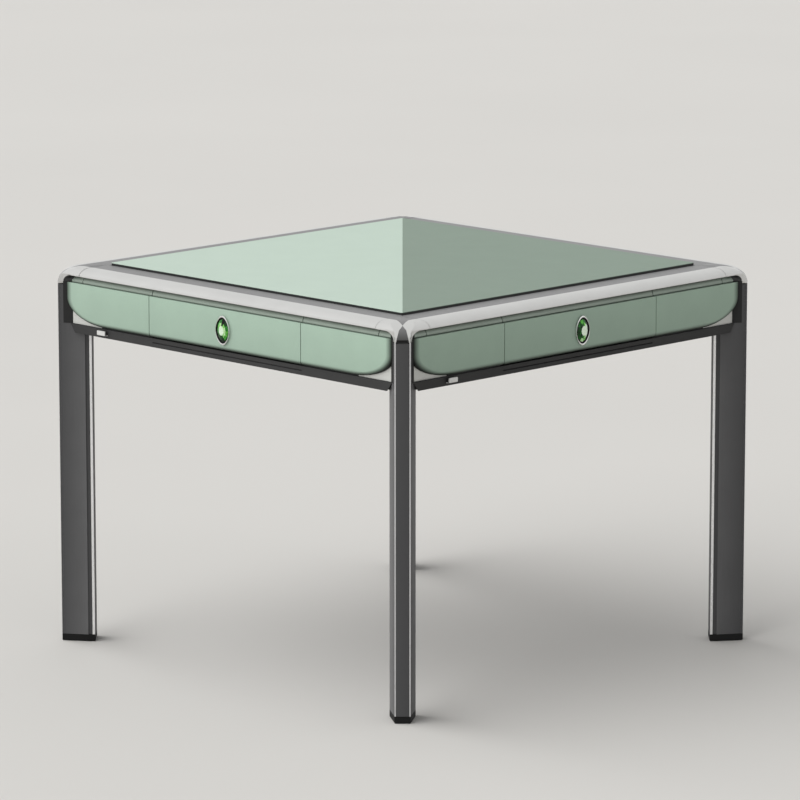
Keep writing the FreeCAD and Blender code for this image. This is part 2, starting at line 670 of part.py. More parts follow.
def make_ports():
    """A small socket housing near the left end of each rail, its shutter closed."""
    proud = RAIL_HALF + PORT_PROUD
    low = RAIL_BOTTOM + PORT_RISE
    top = low + PORT_HEIGHT
    items = [(RAIL_HALF, low), (proud, low), (proud, top), (proud - PORT_PLATE, top),
             (RAIL_HALF, low + PORT_PLATE)]
    middle = PORT_FROM_CORNER - RAIL_HALF
    return all_round(side_run(items, middle - PORT_WIDTH / 2, middle + PORT_WIDTH / 2))


# ---- fronts and drawers ------------------------------------------------------------------
def soften_front(plate, is_edge):
    """Rounds the chosen edges of a plate's outer face."""
    face_y = plate.BoundBox.YMin
    edges = [e for e in plate.Edges if e.BoundBox.YMax < face_y + TOUCH and is_edge(e.BoundBox)]
    return plate.makeFillet(FRONT_EDGE_RADIUS, edges)


def make_side_fronts():
    """The two fixed fronts beside a drawer, each with a big round lower corner."""
    start = DRAWER_FRONT_HALF + FRONT_GAP
    end = flank_end(FRONT_HALF, FRONT_END_GAP)
    corner = round_edge(end - FRONT_ROUND_LONG, FRONT_BOTTOM + FRONT_ROUND_TALL,
                        FRONT_ROUND_LONG, FRONT_ROUND_TALL, -90, 0)
    items = [(start, FRONT_TOP), (start, FRONT_BOTTOM), corner, (end, FRONT_TOP)]
    plate = front_plate(items, FRONT_HALF, SKIRT_HALF)
    plate = soften_front(plate, lambda box: box.XMax > start + OVER and box.ZMin < FRONT_TOP - OVER)
    return all_round(both_ends(trim_ends(plate, FRONT_END_GAP)))


def make_drawer_front():
    half = DRAWER_FRONT_HALF
    items = [(-half, FRONT_BOTTOM), (half, FRONT_BOTTOM), (half, FRONT_TOP), (-half, FRONT_TOP)]
    plate = front_plate(items, FRONT_HALF, DRAWER_BACK)
    return soften_front(plate, lambda box: box.ZMax < FRONT_BOTTOM + OVER)


def make_drawer_box():
    """A moulded tray behind the drawer front, open at the top."""
    half = DRAWER_HALF
    outer = block(-half, half, -DRAWER_BACK, -DRAWER_END, DRAWER_BOTTOM, DRAWER_TOP)
    half -= DRAWER_WALL
    inner = block(-half, half, DRAWER_WALL - DRAWER_BACK, -DRAWER_END - DRAWER_WALL,
                  DRAWER_BOTTOM + DRAWER_WALL, DRAWER_TOP + OVER)
    return outer.cut(inner)


def make_drawer_guides():
    """Channels that hang from the deck and carry the drawers' long edges."""
    web = GUIDE_INNER_HALF
    low = DRAWER_BOTTOM - GUIDE_PLAY
    high = DRAWER_TOP + GUIDE_PLAY
    guide = block(web, GUIDE_OUTER_HALF, -DECK_HALF, -DRAWER_END, low - GUIDE_FLANGE, DECK_BOTTOM)
    for z0, z1 in ((low - GUIDE_FLANGE, low), (high, high + GUIDE_FLANGE)):
        guide = guide.fuse(block(web - GUIDE_LIP, web, -DECK_HALF, -DRAWER_END, z0, z1))
    return all_round(both_ends(guide.removeSplitter()))


def make_trim_strips(casting):
    """The sloped strip under the band, its seams below the rim's and above the fronts' gaps."""
    low = DECK_BOTTOM
    top = BAND_BOTTOM - STRIP_GAP
    items = [(DECK_HALF, low), (STRIP_FOOT_HALF, low), (STRIP_FOOT_HALF, low + STRIP_FOOT_HEIGHT),
             (STRIP_TOP_HALF, top), (DECK_HALF, top)]
    strip = trim_ends(side_run(items, -FRONT_HALF, FRONT_HALF), FRONT_GAP)
    strip = strip.cut(casting).cut(turn(casting, -1))
    for seam in (DRAWER_FRONT_HALF, RIM_SEAM_HALF + STRIP_GAP / 2):
        gap = block(seam - STRIP_GAP, seam, -BAND_HALF, -RAIL_INNER, low, top)
        strip = strip.cut(gap).cut(mirror_x(gap))
    return all_round(strip)


def outward(shape):
    """Sets a knob piece, drawn upright on its long axis X, on drawer front 1."""
    copy = shape.copy()
    copy.rotate(V(0, 0, 0), UP, 90.0)
    copy.rotate(V(0, 0, 0), V(1, 0, 0), 90.0)
    copy.translate(V(0, -FRONT_HALF, (FRONT_TOP + FRONT_BOTTOM) / 2))
    return copy


def oval_wire(shrink, share, z):
    """An oval across the knob, smaller than the bezel by a margin or a share."""
    tall = (BEZEL_TALL / 2 - shrink) * share
    wide = (BEZEL_WIDE / 2 - shrink) * share
    return Part.Wire(Part.Ellipse(V(0, 0, z), tall, wide).toShape())


def make_knob_bezel():
    foot = Part.makeLoft([oval_wire(0, BEZEL_FOOT_SHARE, 0), oval_wire(0, 1, BEZEL_FLARE_HEIGHT)],
                         True, True)
    rim = Part.Face(oval_wire(0, 1, BEZEL_FLARE_HEIGHT))
    rim = rim.extrude(V(0, 0, BEZEL_HEIGHT - BEZEL_FLARE_HEIGHT))
    pocket = Part.Face(oval_wire(BEZEL_WALL, 1, BEZEL_HEIGHT - BEZEL_POCKET))
    return outward(foot.fuse(rim).cut(pocket.extrude(V(0, 0, BEZEL_HEIGHT))).removeSplitter())


def gem_ring(share, z, shift=0.0):
    """A closed ring of straight facets edges round the knob's oval."""
    tall = (BEZEL_TALL / 2 - BEZEL_WALL - GEM_PLAY) * share
    wide = (BEZEL_WIDE / 2 - BEZEL_WALL - GEM_PLAY) * share
    turns = [2 * math.pi * (i + shift) / GEM_SIDES for i in range(GEM_SIDES)]
    points = [V(tall * math.cos(a), wide * math.sin(a), z) for a in turns]
    return Part.makePolygon(points + [points[0]])


def make_knob_gem():
    """A cut crystal in the bezel: straight girdle, sloping crown, flat table."""
    seat = BEZEL_HEIGHT - BEZEL_POCKET
    girdle = seat + GEM_GIRDLE
    base = Part.Face(gem_ring(1, seat)).extrude(V(0, 0, GEM_GIRDLE))
    crown = Part.makeLoft([gem_ring(1, girdle), gem_ring(GEM_TABLE_SHARE, girdle + GEM_CROWN)],
                          True, True)
    return outward(base.fuse(crown).removeSplitter())


# ---- deck and lifts ----------------------------------------------------------------------
def cut_play_holes(plate):
    """Opens the middle hole and the four lift slots."""
    z0, z1 = plate.BoundBox.ZMin, plate.BoundBox.ZMax
    plate = plate.cut(disc(CENTRE_HOLE_RADIUS, z0 - OVER, z1 + OVER))
    long = LIFT_LENGTH / 2 + LIFT_SLOT_PLAY
    wide = LIFT_WIDTH / 2 + LIFT_SLOT_PLAY
    slot = block(-long, long, -LIFT_AT - wide, wide - LIFT_AT, z0 - OVER, z1 + OVER)
    for quarter in range(4):
        plate = plate.cut(turn(slot, quarter))
    return plate


def cut_corners(plate, radial):
    """Takes off whatever lies further out than a distance towards the corners."""
    tool = at_corner(block(radial, BIG, -BIG, BIG, 0, OVERALL_HEIGHT))
    for quarter in range(4):
        plate = plate.cut(turn(tool, quarter))
    return plate


def make_deck():
    half = DECK_HALF
    deck = cut_corners(block(-half, half, -half, half, DECK_BOTTOM, DECK_TOP), DECK_CORNER)
    add("playing_deck", cut_play_holes(deck))
    half = RIM_INNER_HALF - SEAM_GAP
    add("playing_felt", cut_play_holes(block(-half, half, -half, half, DECK_TOP, FELT_TOP)))


def make_lift_tray():
    """The platform that carries one row of tiles, flush with the felt, on its web."""
    half = LIFT_LENGTH / 2
    plate_bottom = FELT_TOP - LIFT_PLATE
    plate = block(-half, half, -LIFT_AT - LIFT_WIDTH / 2, LIFT_WIDTH / 2 - LIFT_AT,
                  plate_bottom, FELT_TOP)
    y0, y1 = -LIFT_AT - LIFT_WEB / 2, LIFT_WEB / 2 - LIFT_AT
    low = plate_bottom - LIFT_WEB_DEPTH
    web = block(-half, half, y0, y1, low, plate_bottom)
    tongue = half + LIFT_TONGUE
    tongues = block(-tongue, tongue, y0, y1, low, DECK_BOTTOM - LIFT_SLOT_PLAY)
    return plate.fuse(web).fuse(tongues).removeSplitter()


def make_lift_guides():
    """Grooved blocks under the deck that the ends of each lift web slide in."""
    start = LIFT_LENGTH / 2 + LIFT_SLOT_PLAY
    half = LIFT_GUIDE_WIDTH / 2
    guide = block(start, start + LIFT_GUIDE_LENGTH, -LIFT_AT - half, half - LIFT_AT,
                  DECK_BOTTOM - LIFT_GUIDE_HEIGHT, DECK_BOTTOM)
    groove = LIFT_WEB / 2 + HAIR
    end = LIFT_LENGTH / 2 + LIFT_TONGUE + HAIR
    guide = guide.cut(block(0, end, -LIFT_AT - groove, groove - LIFT_AT, 0, OVERALL_HEIGHT))
    return all_round(both_ends(guide))


# ---- centre console ----------------------------------------------------------------------
def make_console():
    column = ring(COLUMN_RADIUS, COLUMN_RADIUS - COLUMN_WALL,
                  TRAY_FLOOR_TOP + HUB_FLANGE_HEIGHT, CAP_BOTTOM)
    level = CAP_BOTTOM - DICE_WELL
    floor = disc(COLUMN_RADIUS - COLUMN_WALL / 2, level, level + COLUMN_FLOOR_THICKNESS)
    add("console_column", column.fuse(floor).removeSplitter())
    cap = disc(CAP_RADIUS, CAP_BOTTOM, CAP_TOP)
    rim = [edge for edge in cap.Edges if edge.BoundBox.ZMin > CAP_TOP - OVER and edge.Closed]
    cap = cap.makeChamfer(CAP_EDGE, rim)
    cap = cap.cut(disc(DOME_HOLE_RADIUS, CAP_BOTTOM - OVER, CAP_TOP + OVER))
    cap = cap.cut(disc(DOME_SEAT_RADIUS + HAIR, CAP_TOP - DOME_FLANGE, CAP_TOP + OVER))
    pocket = disc(BUTTON_RADIUS + HAIR, CAP_TOP - BUTTON_POCKET, CAP_TOP + OVER, BUTTON_AT)
    cap = cap.cut(pocket)
    add("console_cap", cap)
    add("dice_dome", make_dome())
    bottom = CAP_TOP - BUTTON_POCKET + BUTTON_TRAVEL + HAIR
    add("start_button", disc(BUTTON_RADIUS, bottom, CAP_TOP + BUTTON_PROUD, BUTTON_AT))


def shell_arc(radius, base, rise):
    """A low arch from the table's axis out to a radius, as (distance out, level)."""
    curve = (radius * radius + rise * rise) / (2 * rise)
    middle = radius / 2
    sag = curve - math.sqrt(curve * curve - middle * middle)
    return Part.Arc(V(0, base + rise, 0), V(middle, base + rise - sag, 0),
                    V(radius, base, 0)).toShape()


def make_dome():
    """The clear dome over the dice, with a thin flange let into the cap."""
    seat = CAP_TOP - DOME_FLANGE
    outer = shell_arc(DOME_HOLE_RADIUS, CAP_TOP, DOME_RISE)
    inner = shell_arc(DOME_HOLE_RADIUS - DOME_WALL, seat, DOME_RISE + DOME_FLANGE - DOME_WALL)
    face = outline_face([(0, seat + DOME_RISE + DOME_FLANGE - DOME_WALL), (0, CAP_TOP + DOME_RISE),
                         outer, (DOME_SEAT_RADIUS, CAP_TOP), (DOME_SEAT_RADIUS, seat), inner])
    return stand_up(face).revolve(V(0, 0, 0), UP, 360)


# ---- mixing machine ----------------------------------------------------------------------
def make_mixer():
    low = TURNTABLE_BOTTOM - DRUM_SKIRT
    add("drum_wall", ring(DRUM_RADIUS, DRUM_INNER_RADIUS, low, DECK_BOTTOM))
    bore = HUB_RADIUS + RUNNING_FIT
    plate = ring(TURNTABLE_RADIUS, bore, TURNTABLE_BOTTOM, TURNTABLE_BOTTOM + TURNTABLE_THICKNESS)
    boss = ring(HUB_SHOULDER, bore, TURNTABLE_BOTTOM - TURNTABLE_BOSS, TURNTABLE_BOTTOM)
    add("turntable", plate.fuse(boss).removeSplitter())
    shoulder = TURNTABLE_BOTTOM - TURNTABLE_BOSS - THRUST_GAP
    foot = TRAY_FLOOR_TOP + HUB_FLANGE_HEIGHT
    hub = disc(HUB_FLANGE, TRAY_FLOOR_TOP, foot).fuse(disc(HUB_SHOULDER, foot, shoulder))
    hub = hub.fuse(disc(HUB_RADIUS, shoulder, HUB_TOP)).removeSplitter()
    add("centre_hub", hub.cut(disc(HUB_BORE, foot, HUB_TOP + OVER)))


def x_bar(radius, x0, x1):
    """A round bar along the drive's axis."""
    return Part.makeCylinder(radius, x1 - x0, V(x0, 0, ROLLER_LEVEL), V(1, 0, 0))


def make_drive():
    """The gear motor and the rubber roller that turns the table from below."""
    face = ROLLER_AT - ROLLER_WIDTH / 2
    shaft_end = face - ROLLER_SHAFT_LENGTH
    roller = x_bar(ROLLER_RADIUS, face, face + ROLLER_WIDTH)
    add("drive_roller", roller.fuse(x_bar(ROLLER_SHAFT, shaft_end, face)).removeSplitter())
    front = face - MOTOR_TO_ROLLER
    back = front - MOTOR_LENGTH
    foot = block(back + MOTOR_FOOT_INSET, front - MOTOR_FOOT_INSET, -MOTOR_FOOT_WIDTH / 2,
                 MOTOR_FOOT_WIDTH / 2, TRAY_FLOOR_TOP, TRAY_FLOOR_TOP + MOTOR_FOOT_HEIGHT)
    motor = x_bar(MOTOR_RADIUS, back, front).fuse(foot).removeSplitter()
    bore = x_bar(ROLLER_SHAFT + RUNNING_FIT, shaft_end - OVER, front + OVER)
    add("drive_motor", motor.cut(bore))


# ---- bottom tray and mains box -----------------------------------------------------------
def make_bottom_tray():
    """Sheet tray that closes the machine below and hangs on the rails by its flange."""
    inner = TRAY_HALF - TRAY_SHEET
    flange = block(-TRAY_FLANGE_HALF, TRAY_FLANGE_HALF, -TRAY_FLANGE_HALF, TRAY_FLANGE_HALF,
                   RAIL_TOP, RAIL_TOP + TRAY_FLANGE_SHEET)
    well = block(-TRAY_HALF, TRAY_HALF, -TRAY_HALF, TRAY_HALF, TRAY_FLOOR_BOTTOM, RAIL_TOP)
    tray = cut_corners(flange, TRAY_CORNER).fuse(well)
    tray = tray.cut(block(-inner, inner, -inner, inner, TRAY_FLOOR_TOP, OVERALL_HEIGHT))
    hole = box_block(0, PANEL_HOLE_LONG, PANEL_HOLE_WIDE, 0, OVERALL_HEIGHT)
    return tray.cut(hole).removeSplitter()


def box_block(offset, long, wide, z0, z1):
    """A box about the middle of the mains box, which stands in the tray's corner 3."""
    x = offset - BOX_MIDDLE
    return block(x - long / 2, x + long / 2, BOX_MIDDLE - wide / 2, BOX_MIDDLE + wide / 2, z0, z1)


def rocker_pin(play, end_play):
    """The bar on the rocker's axis whose two ends turn in the box."""
    reach = ROCKER_WIDE / 2 + ROCKER_PIN_REACH + end_play
    start = V(FITTING_OFFSET - BOX_MIDDLE, BOX_MIDDLE - reach, TRAY_FLOOR_TOP + ROCKER_PIVOT_RISE)
    return Part.makeCylinder(ROCKER_PIN_RADIUS + play, 2 * reach, start, V(0, 1, 0))


def make_control_box():
    """The supply box, its mains inlet and switch pocket facing down through the tray."""
    low = TRAY_FLOOR_TOP
    box = box_block(0, BOX_SIDE, BOX_SIDE, low, low + BOX_HEIGHT)
    ceiling = low + INLET_DEPTH
    box = box.cut(box_block(-FITTING_OFFSET, INLET_LONG, INLET_WIDE, low - OVER, ceiling))
    box = box.cut(box_block(FITTING_OFFSET, ROCKER_LONG + 2 * ROCKER_END_PLAY,
                            ROCKER_WIDE + 2 * HAIR, low - OVER, low + ROCKER_POCKET_DEPTH))
    box = box.cut(rocker_pin(RUNNING_FIT, HAIR))
    blades = [box_block(i * BLADE_PITCH - FITTING_OFFSET, BLADE_LONG, BLADE_WIDE,
                        ceiling - BLADE_HEIGHT, ceiling) for i in (-1, 0, 1)]
    return Part.makeCompound(box.Solids + blades)


def make_power_switch():
    """A rocker with two slanting faces on its pin, tipped to its off side."""
    half = ROCKER_LONG / 2
    deep = ROCKER_DEPTH / 2
    items = [(-half, -deep), (0, ROCKER_DISH - deep), (half, -deep), (half, deep), (-half, deep)]
    rocker = across_nose(items, ROCKER_WIDE / 2)
    rocker.rotate(V(0, 0, 0), V(0, 1, 0), ROCKER_TILT)
    rocker.translate(V(FITTING_OFFSET - BOX_MIDDLE, BOX_MIDDLE, TRAY_FLOOR_TOP + ROCKER_PIVOT_RISE))
    return rocker.fuse(rocker_pin(0.0, 0.0)).removeSplitter()


# ---- the whole table ---------------------------------------------------------------------
def make_frame():
    casting = make_corner_casting()
    add_four("leg", make_leg())
    add("leg_trims", make_leg_trims())
    add("leg_shoes", make_leg_shoes())
    add_four("corner_casting", casting)
    add_four("top_rim", make_top_rim())
    add("base_rails", all_round(make_base_rail()))
    add("side_fronts", make_side_fronts())
    add("trim_strips", make_trim_strips(casting))
    add("side_skirts", make_side_skirts())
    add("corner_brackets", make_brackets())
    add("leg_bolts", make_bolts())
    add("charging_ports", make_ports())


def make_drawers():
    add_four("drawer_front", make_drawer_front())
    add_four("drawer_box", make_drawer_box())
    add_four("knob_bezel", make_knob_bezel())
    add_four("knob_gem", make_knob_gem())
    add("drawer_guides", make_drawer_guides())


def make_machine():
    make_deck()
    add_four("lift_tray", make_lift_tray())
    add("lift_guides", make_lift_guides())
    make_console()
    make_mixer()
    make_drive()
    add("bottom_tray", make_bottom_tray())
    add("control_box", make_control_box())
    add("power_switch", make_power_switch())


def main():
    make_frame()
    make_drawers()
    make_cover()
    make_machine()
    os.makedirs("parts", exist_ok=True)
    for name, shape in PARTS.items():
        shape.exportStep("parts/%s.step" % name)
    print(len(PARTS), "nodes", sum(len(shape.Solids) for shape in PARTS.values()), "solids")


main()
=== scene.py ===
# %% [markdown]
# # A square automatic mahjong table, dressed for its portrait
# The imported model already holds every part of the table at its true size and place.
# This lesson adds what the eye needs: softened edges, a cut knob on each drawer,
# and a finish for every part that starts from what the real one is made of.
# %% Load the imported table
import json
import math

import bmesh
import bpy
from mathutils import Matrix, Vector


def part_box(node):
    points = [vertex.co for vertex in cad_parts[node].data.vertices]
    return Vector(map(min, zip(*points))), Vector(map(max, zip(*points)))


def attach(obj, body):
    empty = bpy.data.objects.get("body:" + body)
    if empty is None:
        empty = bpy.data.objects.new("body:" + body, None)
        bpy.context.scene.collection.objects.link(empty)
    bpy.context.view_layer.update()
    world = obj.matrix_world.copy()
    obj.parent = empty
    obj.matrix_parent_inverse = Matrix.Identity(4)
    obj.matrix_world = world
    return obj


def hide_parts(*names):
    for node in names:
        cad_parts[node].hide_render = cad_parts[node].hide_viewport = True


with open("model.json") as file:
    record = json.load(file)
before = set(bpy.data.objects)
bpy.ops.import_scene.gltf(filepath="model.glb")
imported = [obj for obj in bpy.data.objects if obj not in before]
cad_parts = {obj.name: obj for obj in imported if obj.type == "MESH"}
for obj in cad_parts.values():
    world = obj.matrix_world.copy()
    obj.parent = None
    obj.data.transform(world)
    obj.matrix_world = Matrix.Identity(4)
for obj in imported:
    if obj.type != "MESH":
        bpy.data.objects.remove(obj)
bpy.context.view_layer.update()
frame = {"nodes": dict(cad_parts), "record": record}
MM = 0.001

# %% [markdown]
# ## The studio
# The camera looks along the table's diagonal from ten metres away, a little from above.
# From so far off it needs a long lens, and the legs stay nearly parallel in the render.
# %% Camera
SENSOR_WIDTH, LENS, SHIFT_ACROSS = 36.0, 227.1, -0.00325
CAMERA_PLACE = (6.931, -6.931, 2.367)
CAMERA_TILT, CAMERA_TURN = math.radians(79.13), math.radians(45.0)
camera_data = bpy.data.cameras.new("camera")
camera_data.sensor_width = SENSOR_WIDTH
camera_data.lens = LENS
camera_data.shift_x = SHIFT_ACROSS
camera = bpy.data.objects.new("camera", camera_data)
camera.location = CAMERA_PLACE
camera.rotation_euler = (CAMERA_TILT, 0.0, CAMERA_TURN)
bpy.context.scene.collection.objects.link(camera)
bpy.context.scene.camera = camera
bpy.context.scene.view_settings.view_transform = "Standard"
print("camera stands", round(camera.location.length, 2), "m from the middle of the floor")

# %% [markdown]
# Every material below is a small net of nodes, so one helper adds a node,
# sets it and links it. Colours are written as they look on a screen,
# and a second helper turns them into the linear numbers that the renderer works with.
# %% Helpers for materials
def linear(hex_colour):
    """A screen colour such as "a8bcac" as linear red, green, blue and alpha."""
    parts = [int(hex_colour[i:i + 2], 16) / 255 for i in (0, 2, 4)]
    return (*[p / 12.92 if p <= 0.04045 else ((p + 0.055) / 1.055) ** 2.4 for p in parts], 1.0)


def add_node(tree, kind, inputs=None, **settings):
    """Adds a node, with its settings, and a value or a link for each input that is named."""
    node = tree.nodes.new(kind)
    for name, value in settings.items():
        setattr(node, name, value)
    for name, value in (inputs or {}).items():
        if isinstance(value, bpy.types.NodeSocket):
            tree.links.new(value, node.inputs[name])
        else:
            node.inputs[name].default_value = value
    return node


def new_tree(name):
    """An empty material and its node tree."""
    material = bpy.data.materials.new(name)
    material.use_nodes = True
    material.node_tree.nodes.clear()
    return material, material.node_tree


print("screen grey 808080 is", round(linear("808080")[0], 3), "in linear light")

# %% [markdown]
# The floor is one flat sheet, so wide that its edge stays out of the camera's sight.
# A painted floor is never quite even, so its colour drifts a little from metre to metre.
# %% Floor
FLOOR_HALF = 60.0
FLOOR_CLOUDS_PER_METRE = 0.7
floor_mesh = bmesh.new()
bmesh.ops.create_grid(floor_mesh, x_segments=1, y_segments=1, size=FLOOR_HALF)
floor_data = bpy.data.meshes.new("floor")
floor_mesh.to_mesh(floor_data)
floor_mesh.free()
floor = bpy.data.objects.new("floor", floor_data)
bpy.context.scene.collection.objects.link(floor)

floor_paint, tree = new_tree("pale_studio_floor")
place = add_node(tree, "ShaderNodeTexCoord")
cloud = add_node(tree, "ShaderNodeTexNoise",
                 {"Vector": place.outputs["Object"], "Scale": FLOOR_CLOUDS_PER_METRE, "Detail": 2.0})
tone = add_node(tree, "ShaderNodeMix", {0: cloud.outputs["Fac"], 6: linear("cfcdc9"), 7: linear("d5d3cf")},
                data_type="RGBA")
shell = add_node(tree, "ShaderNodeBsdfPrincipled", {"Base Color": tone.outputs[2], "Roughness": 0.75})
add_node(tree, "ShaderNodeOutputMaterial", {"Surface": shell.outputs[0]})
floor_data.materials.append(floor_paint)
print("floor is", 2 * FLOOR_HALF, "m wide")

# %% [markdown]
# One broad lamp from the left gives the near left side its light, and the right side
# is lit mostly by the room, so the two sides read as two planes.
# A sun lamp with a very wide disc stands for a large soft box: its light is the same
# all over the table and its shadows have no hard edge. It isn't seen in glossy parts.
# %% Lamp
LAMP_STRENGTH = 3.5
LAMP_SPREAD = math.radians(100.0)
LAMP_FROM = Vector((-0.55, -0.62, 0.56))
lamp_data = bpy.data.lights.new("broad_lamp", "SUN")
lamp_data.energy = LAMP_STRENGTH
lamp_data.angle = LAMP_SPREAD
lamp = bpy.data.objects.new("broad_lamp", lamp_data)
lamp.visible_glossy = False
lamp.rotation_euler = LAMP_FROM.to_track_quat("Z", "Y").to_euler()
bpy.context.scene.collection.objects.link(lamp)
print("lamp", lamp_data.energy)

# %% [markdown]
# The room is white to the camera, in mirrors and through glass,
# but sheds only part of that light on the table, so pale parts keep their colour.
# %% Room light
ROOM_LIGHT = 0.38
world = bpy.data.worlds.new("room")
bpy.context.scene.world = world
world.use_nodes = True
tree = world.node_tree
tree.nodes.clear()
ray = add_node(tree, "ShaderNodeLightPath")
seen = add_node(tree, "ShaderNodeMath", {0: ray.outputs["Is Camera Ray"], 1: ray.outputs["Is Glossy Ray"]},
                operation="MAXIMUM")
seen = add_node(tree, "ShaderNodeMath", {0: seen.outputs[0], 1: ray.outputs["Is Transmission Ray"]},
                operation="MAXIMUM")
strength = add_node(tree, "ShaderNodeMapRange",
                    {"Value": seen.outputs[0], "To Min": ROOM_LIGHT, "To Max": 1.0})
sky = add_node(tree, "ShaderNodeBackground", {"Color": linear("ffffff"), "Strength": strength.outputs[0]})
add_node(tree, "ShaderNodeOutputWorld", {"Surface": sky.outputs[0]})
print("room", ROOM_LIGHT)

# %% [markdown]
# ## Finishes
# Most parts of this table are sheet, moulding or extrusion with a thin coat.
# Such a surface is one colour with a slight drift over centimetres, a fine grain in its gloss,
# and a relief of a few hundredths of a millimetre. One recipe covers them,
# with the grain's size, its stretch along a drawing direction, and its gloss for each part.
# The real grain of most of these coats is finer than a pixel of the render,
# so it is drawn about a millimetre wide, which is as coarse as it needs to be to show.
# %% The recipe for a coated surface
DRIFT_MM = 60
GRAIN_HEIGHT = 0.2
# A noise seldom leaves the first of these ranges, and the sum of two the second.
ONE_NOISE = (0.3, 0.7)
TWO_NOISES = (0.7, 1.3)


def grain_scale(millimetres):
    """Noise scale that gives features about this far apart on Object coordinates in metres."""
    return 1.0 / (millimetres * MM)


def coated(name, light, deep, grain_mm, roughness, metallic=0.0, stretch=(1, 1, 1), relief=0.08,
           swing=0.06, painted_light=None, **shader):
    """A surface that drifts between two near colours, with grain in its gloss and its relief.

    The painted light and shade is a function for the share of full colour at each place, and the colour
    where it is none.
    """
    material, tree = new_tree(name)
    place = add_node(tree, "ShaderNodeTexCoord")
    spread = add_node(tree, "ShaderNodeMapping", {"Vector": place.outputs["Object"], "Scale": stretch})
    drift = add_node(tree, "ShaderNodeTexNoise",
                     {"Vector": place.outputs["Object"], "Scale": grain_scale(DRIFT_MM), "Detail": 3.0})
    grain = add_node(tree, "ShaderNodeTexNoise",
                     {"Vector": spread.outputs[0], "Scale": grain_scale(grain_mm), "Detail": 4.0,
                      "Roughness": 0.6})
    both = add_node(tree, "ShaderNodeMath", {0: drift.outputs["Fac"], 1: grain.outputs["Fac"]},
                    operation="ADD")
    share = add_node(tree, "ShaderNodeMapRange",
                     {"Value": both.outputs[0], "From Min": TWO_NOISES[0], "From Max": TWO_NOISES[1]})
    tone = add_node(tree, "ShaderNodeMix", {0: share.outputs[0], 6: linear(deep), 7: linear(light)},
                    data_type="RGBA")
    if painted_light:
        share_at, under = painted_light
        tone = add_node(tree, "ShaderNodeMix",
                        {0: share_at(tree, place), 6: linear(under), 7: tone.outputs[2]},
                        data_type="RGBA")
    gloss = add_node(tree, "ShaderNodeMapRange",
                     {"Value": grain.outputs["Fac"], "From Min": ONE_NOISE[0], "From Max": ONE_NOISE[1],
                      "To Min": roughness - swing, "To Max": roughness + swing})
    bump = add_node(tree, "ShaderNodeBump",
                    {"Height": grain.outputs["Fac"], "Strength": relief,
                     "Distance": grain_mm * MM * GRAIN_HEIGHT})
    skin = add_node(tree, "ShaderNodeBsdfPrincipled",
                    {"Base Color": tone.outputs[2], "Roughness": gloss.outputs[0],
                     "Normal": bump.outputs[0], "Metallic": metallic, **shader})
    add_node(tree, "ShaderNodeOutputMaterial", {"Surface": skin.outputs[0]})
    return material


print("a grain of 1 mm is noise scale", round(grain_scale(1)))

# %% [markdown]
# Four finishes change colour with place. The leg is painted lighter along its flank than at its nose, a
# painted reflection.
# The lacquer of the fronts carries painted shade round its outline, at its foot and over its top edge,
# the sprayed strip carries painted shade at its top under the rim, and the casting's nose is darker towards
# its foot.
# Each change is a share between 0 and 1, worked out from the place itself.
# A point's distance out is measured along the diagonal for a leg, and square to a side for a front.
# %% Places that the shares use
LEG_NOSE_OUT = 678 * MM
LEG_STEP_OUT = 625 * MM
FRONT_FACE = -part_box("drawer_front_1")[0][1]
FRONT_LOW, FRONT_HIGH = (corner[2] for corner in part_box("drawer_front_1"))
# The ends of the fronts are read from the vertices that lie this close behind their face.
OUTLINE_DEPTH = 9 * MM
FRONT_END = max(min(abs(v.co.x), abs(v.co.y)) for v in frame["nodes"]["side_fronts"].data.vertices
                if max(abs(v.co.x), abs(v.co.y)) > FRONT_FACE - OUTLINE_DEPTH)
STRIP_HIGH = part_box("trim_strips")[1][2]
CASTING_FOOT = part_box("corner_casting_1")[0][2]
print("fronts end", round(FRONT_END, 4), "and run from", round(FRONT_LOW, 4), "to", round(FRONT_HIGH, 4))

# %% Share along a leg's flank
def plan_parts(tree, place):
    """A point's two distances from the table's middle lines, and its level."""
    parts = add_node(tree, "ShaderNodeSeparateXYZ", {0: place.outputs["Object"]})
    x = add_node(tree, "ShaderNodeMath", {0: parts.outputs[0]}, operation="ABSOLUTE")
    y = add_node(tree, "ShaderNodeMath", {0: parts.outputs[1]}, operation="ABSOLUTE")
    return x.outputs[0], y.outputs[0], parts.outputs[2]


def along_flank(tree, place):
    """0 at a leg's nose and on its stepped-in back, 1 at the end of the flank between them, where the
    painted reflection is lightest.
    """
    x, y, _ = plan_parts(tree, place)
    both = add_node(tree, "ShaderNodeMath", {0: x, 1: y}, operation="ADD")
    out = add_node(tree, "ShaderNodeMath", {0: both.outputs[0], 1: math.sqrt(0.5)}, operation="MULTIPLY")
    flank = add_node(tree, "ShaderNodeMapRange",
                     {"Value": out.outputs[0], "From Min": LEG_NOSE_OUT, "From Max": LEG_STEP_OUT})
    before_step = add_node(tree, "ShaderNodeMath", {0: out.outputs[0], 1: LEG_STEP_OUT},
                           operation="GREATER_THAN")
    share = add_node(tree, "ShaderNodeMath", {0: flank.outputs[0], 1: before_step.outputs[0]},
                     operation="MULTIPLY")
    return share.outputs[0]


print("flank is", round((LEG_NOSE_OUT - LEG_STEP_OUT) / MM), "mm deep")

# %% [markdown]
# The row of fronts on a side has a big round lower corner at each end, 110 mm long and 50 mm tall.
# Measured in those two lengths the round is a quarter circle, so one distance gives the outline,
# and painted shade darkens the colour just inside it. Further painted shade falls off towards the foot
# and, from the face backwards, over the top edge.
# %% Share off a front's edge
ROUND_LONG, ROUND_TALL = 110 * MM, 50 * MM
# Painted shade round a front's outline, at its foot, over its top face and down its whole height.
EDGE_SHARE = 0.14
TOP_FADE = 8 * MM
FOOT_FADE, FOOT_SHARE = 10 * MM, 0.2
LOW_SHARE = 0.86


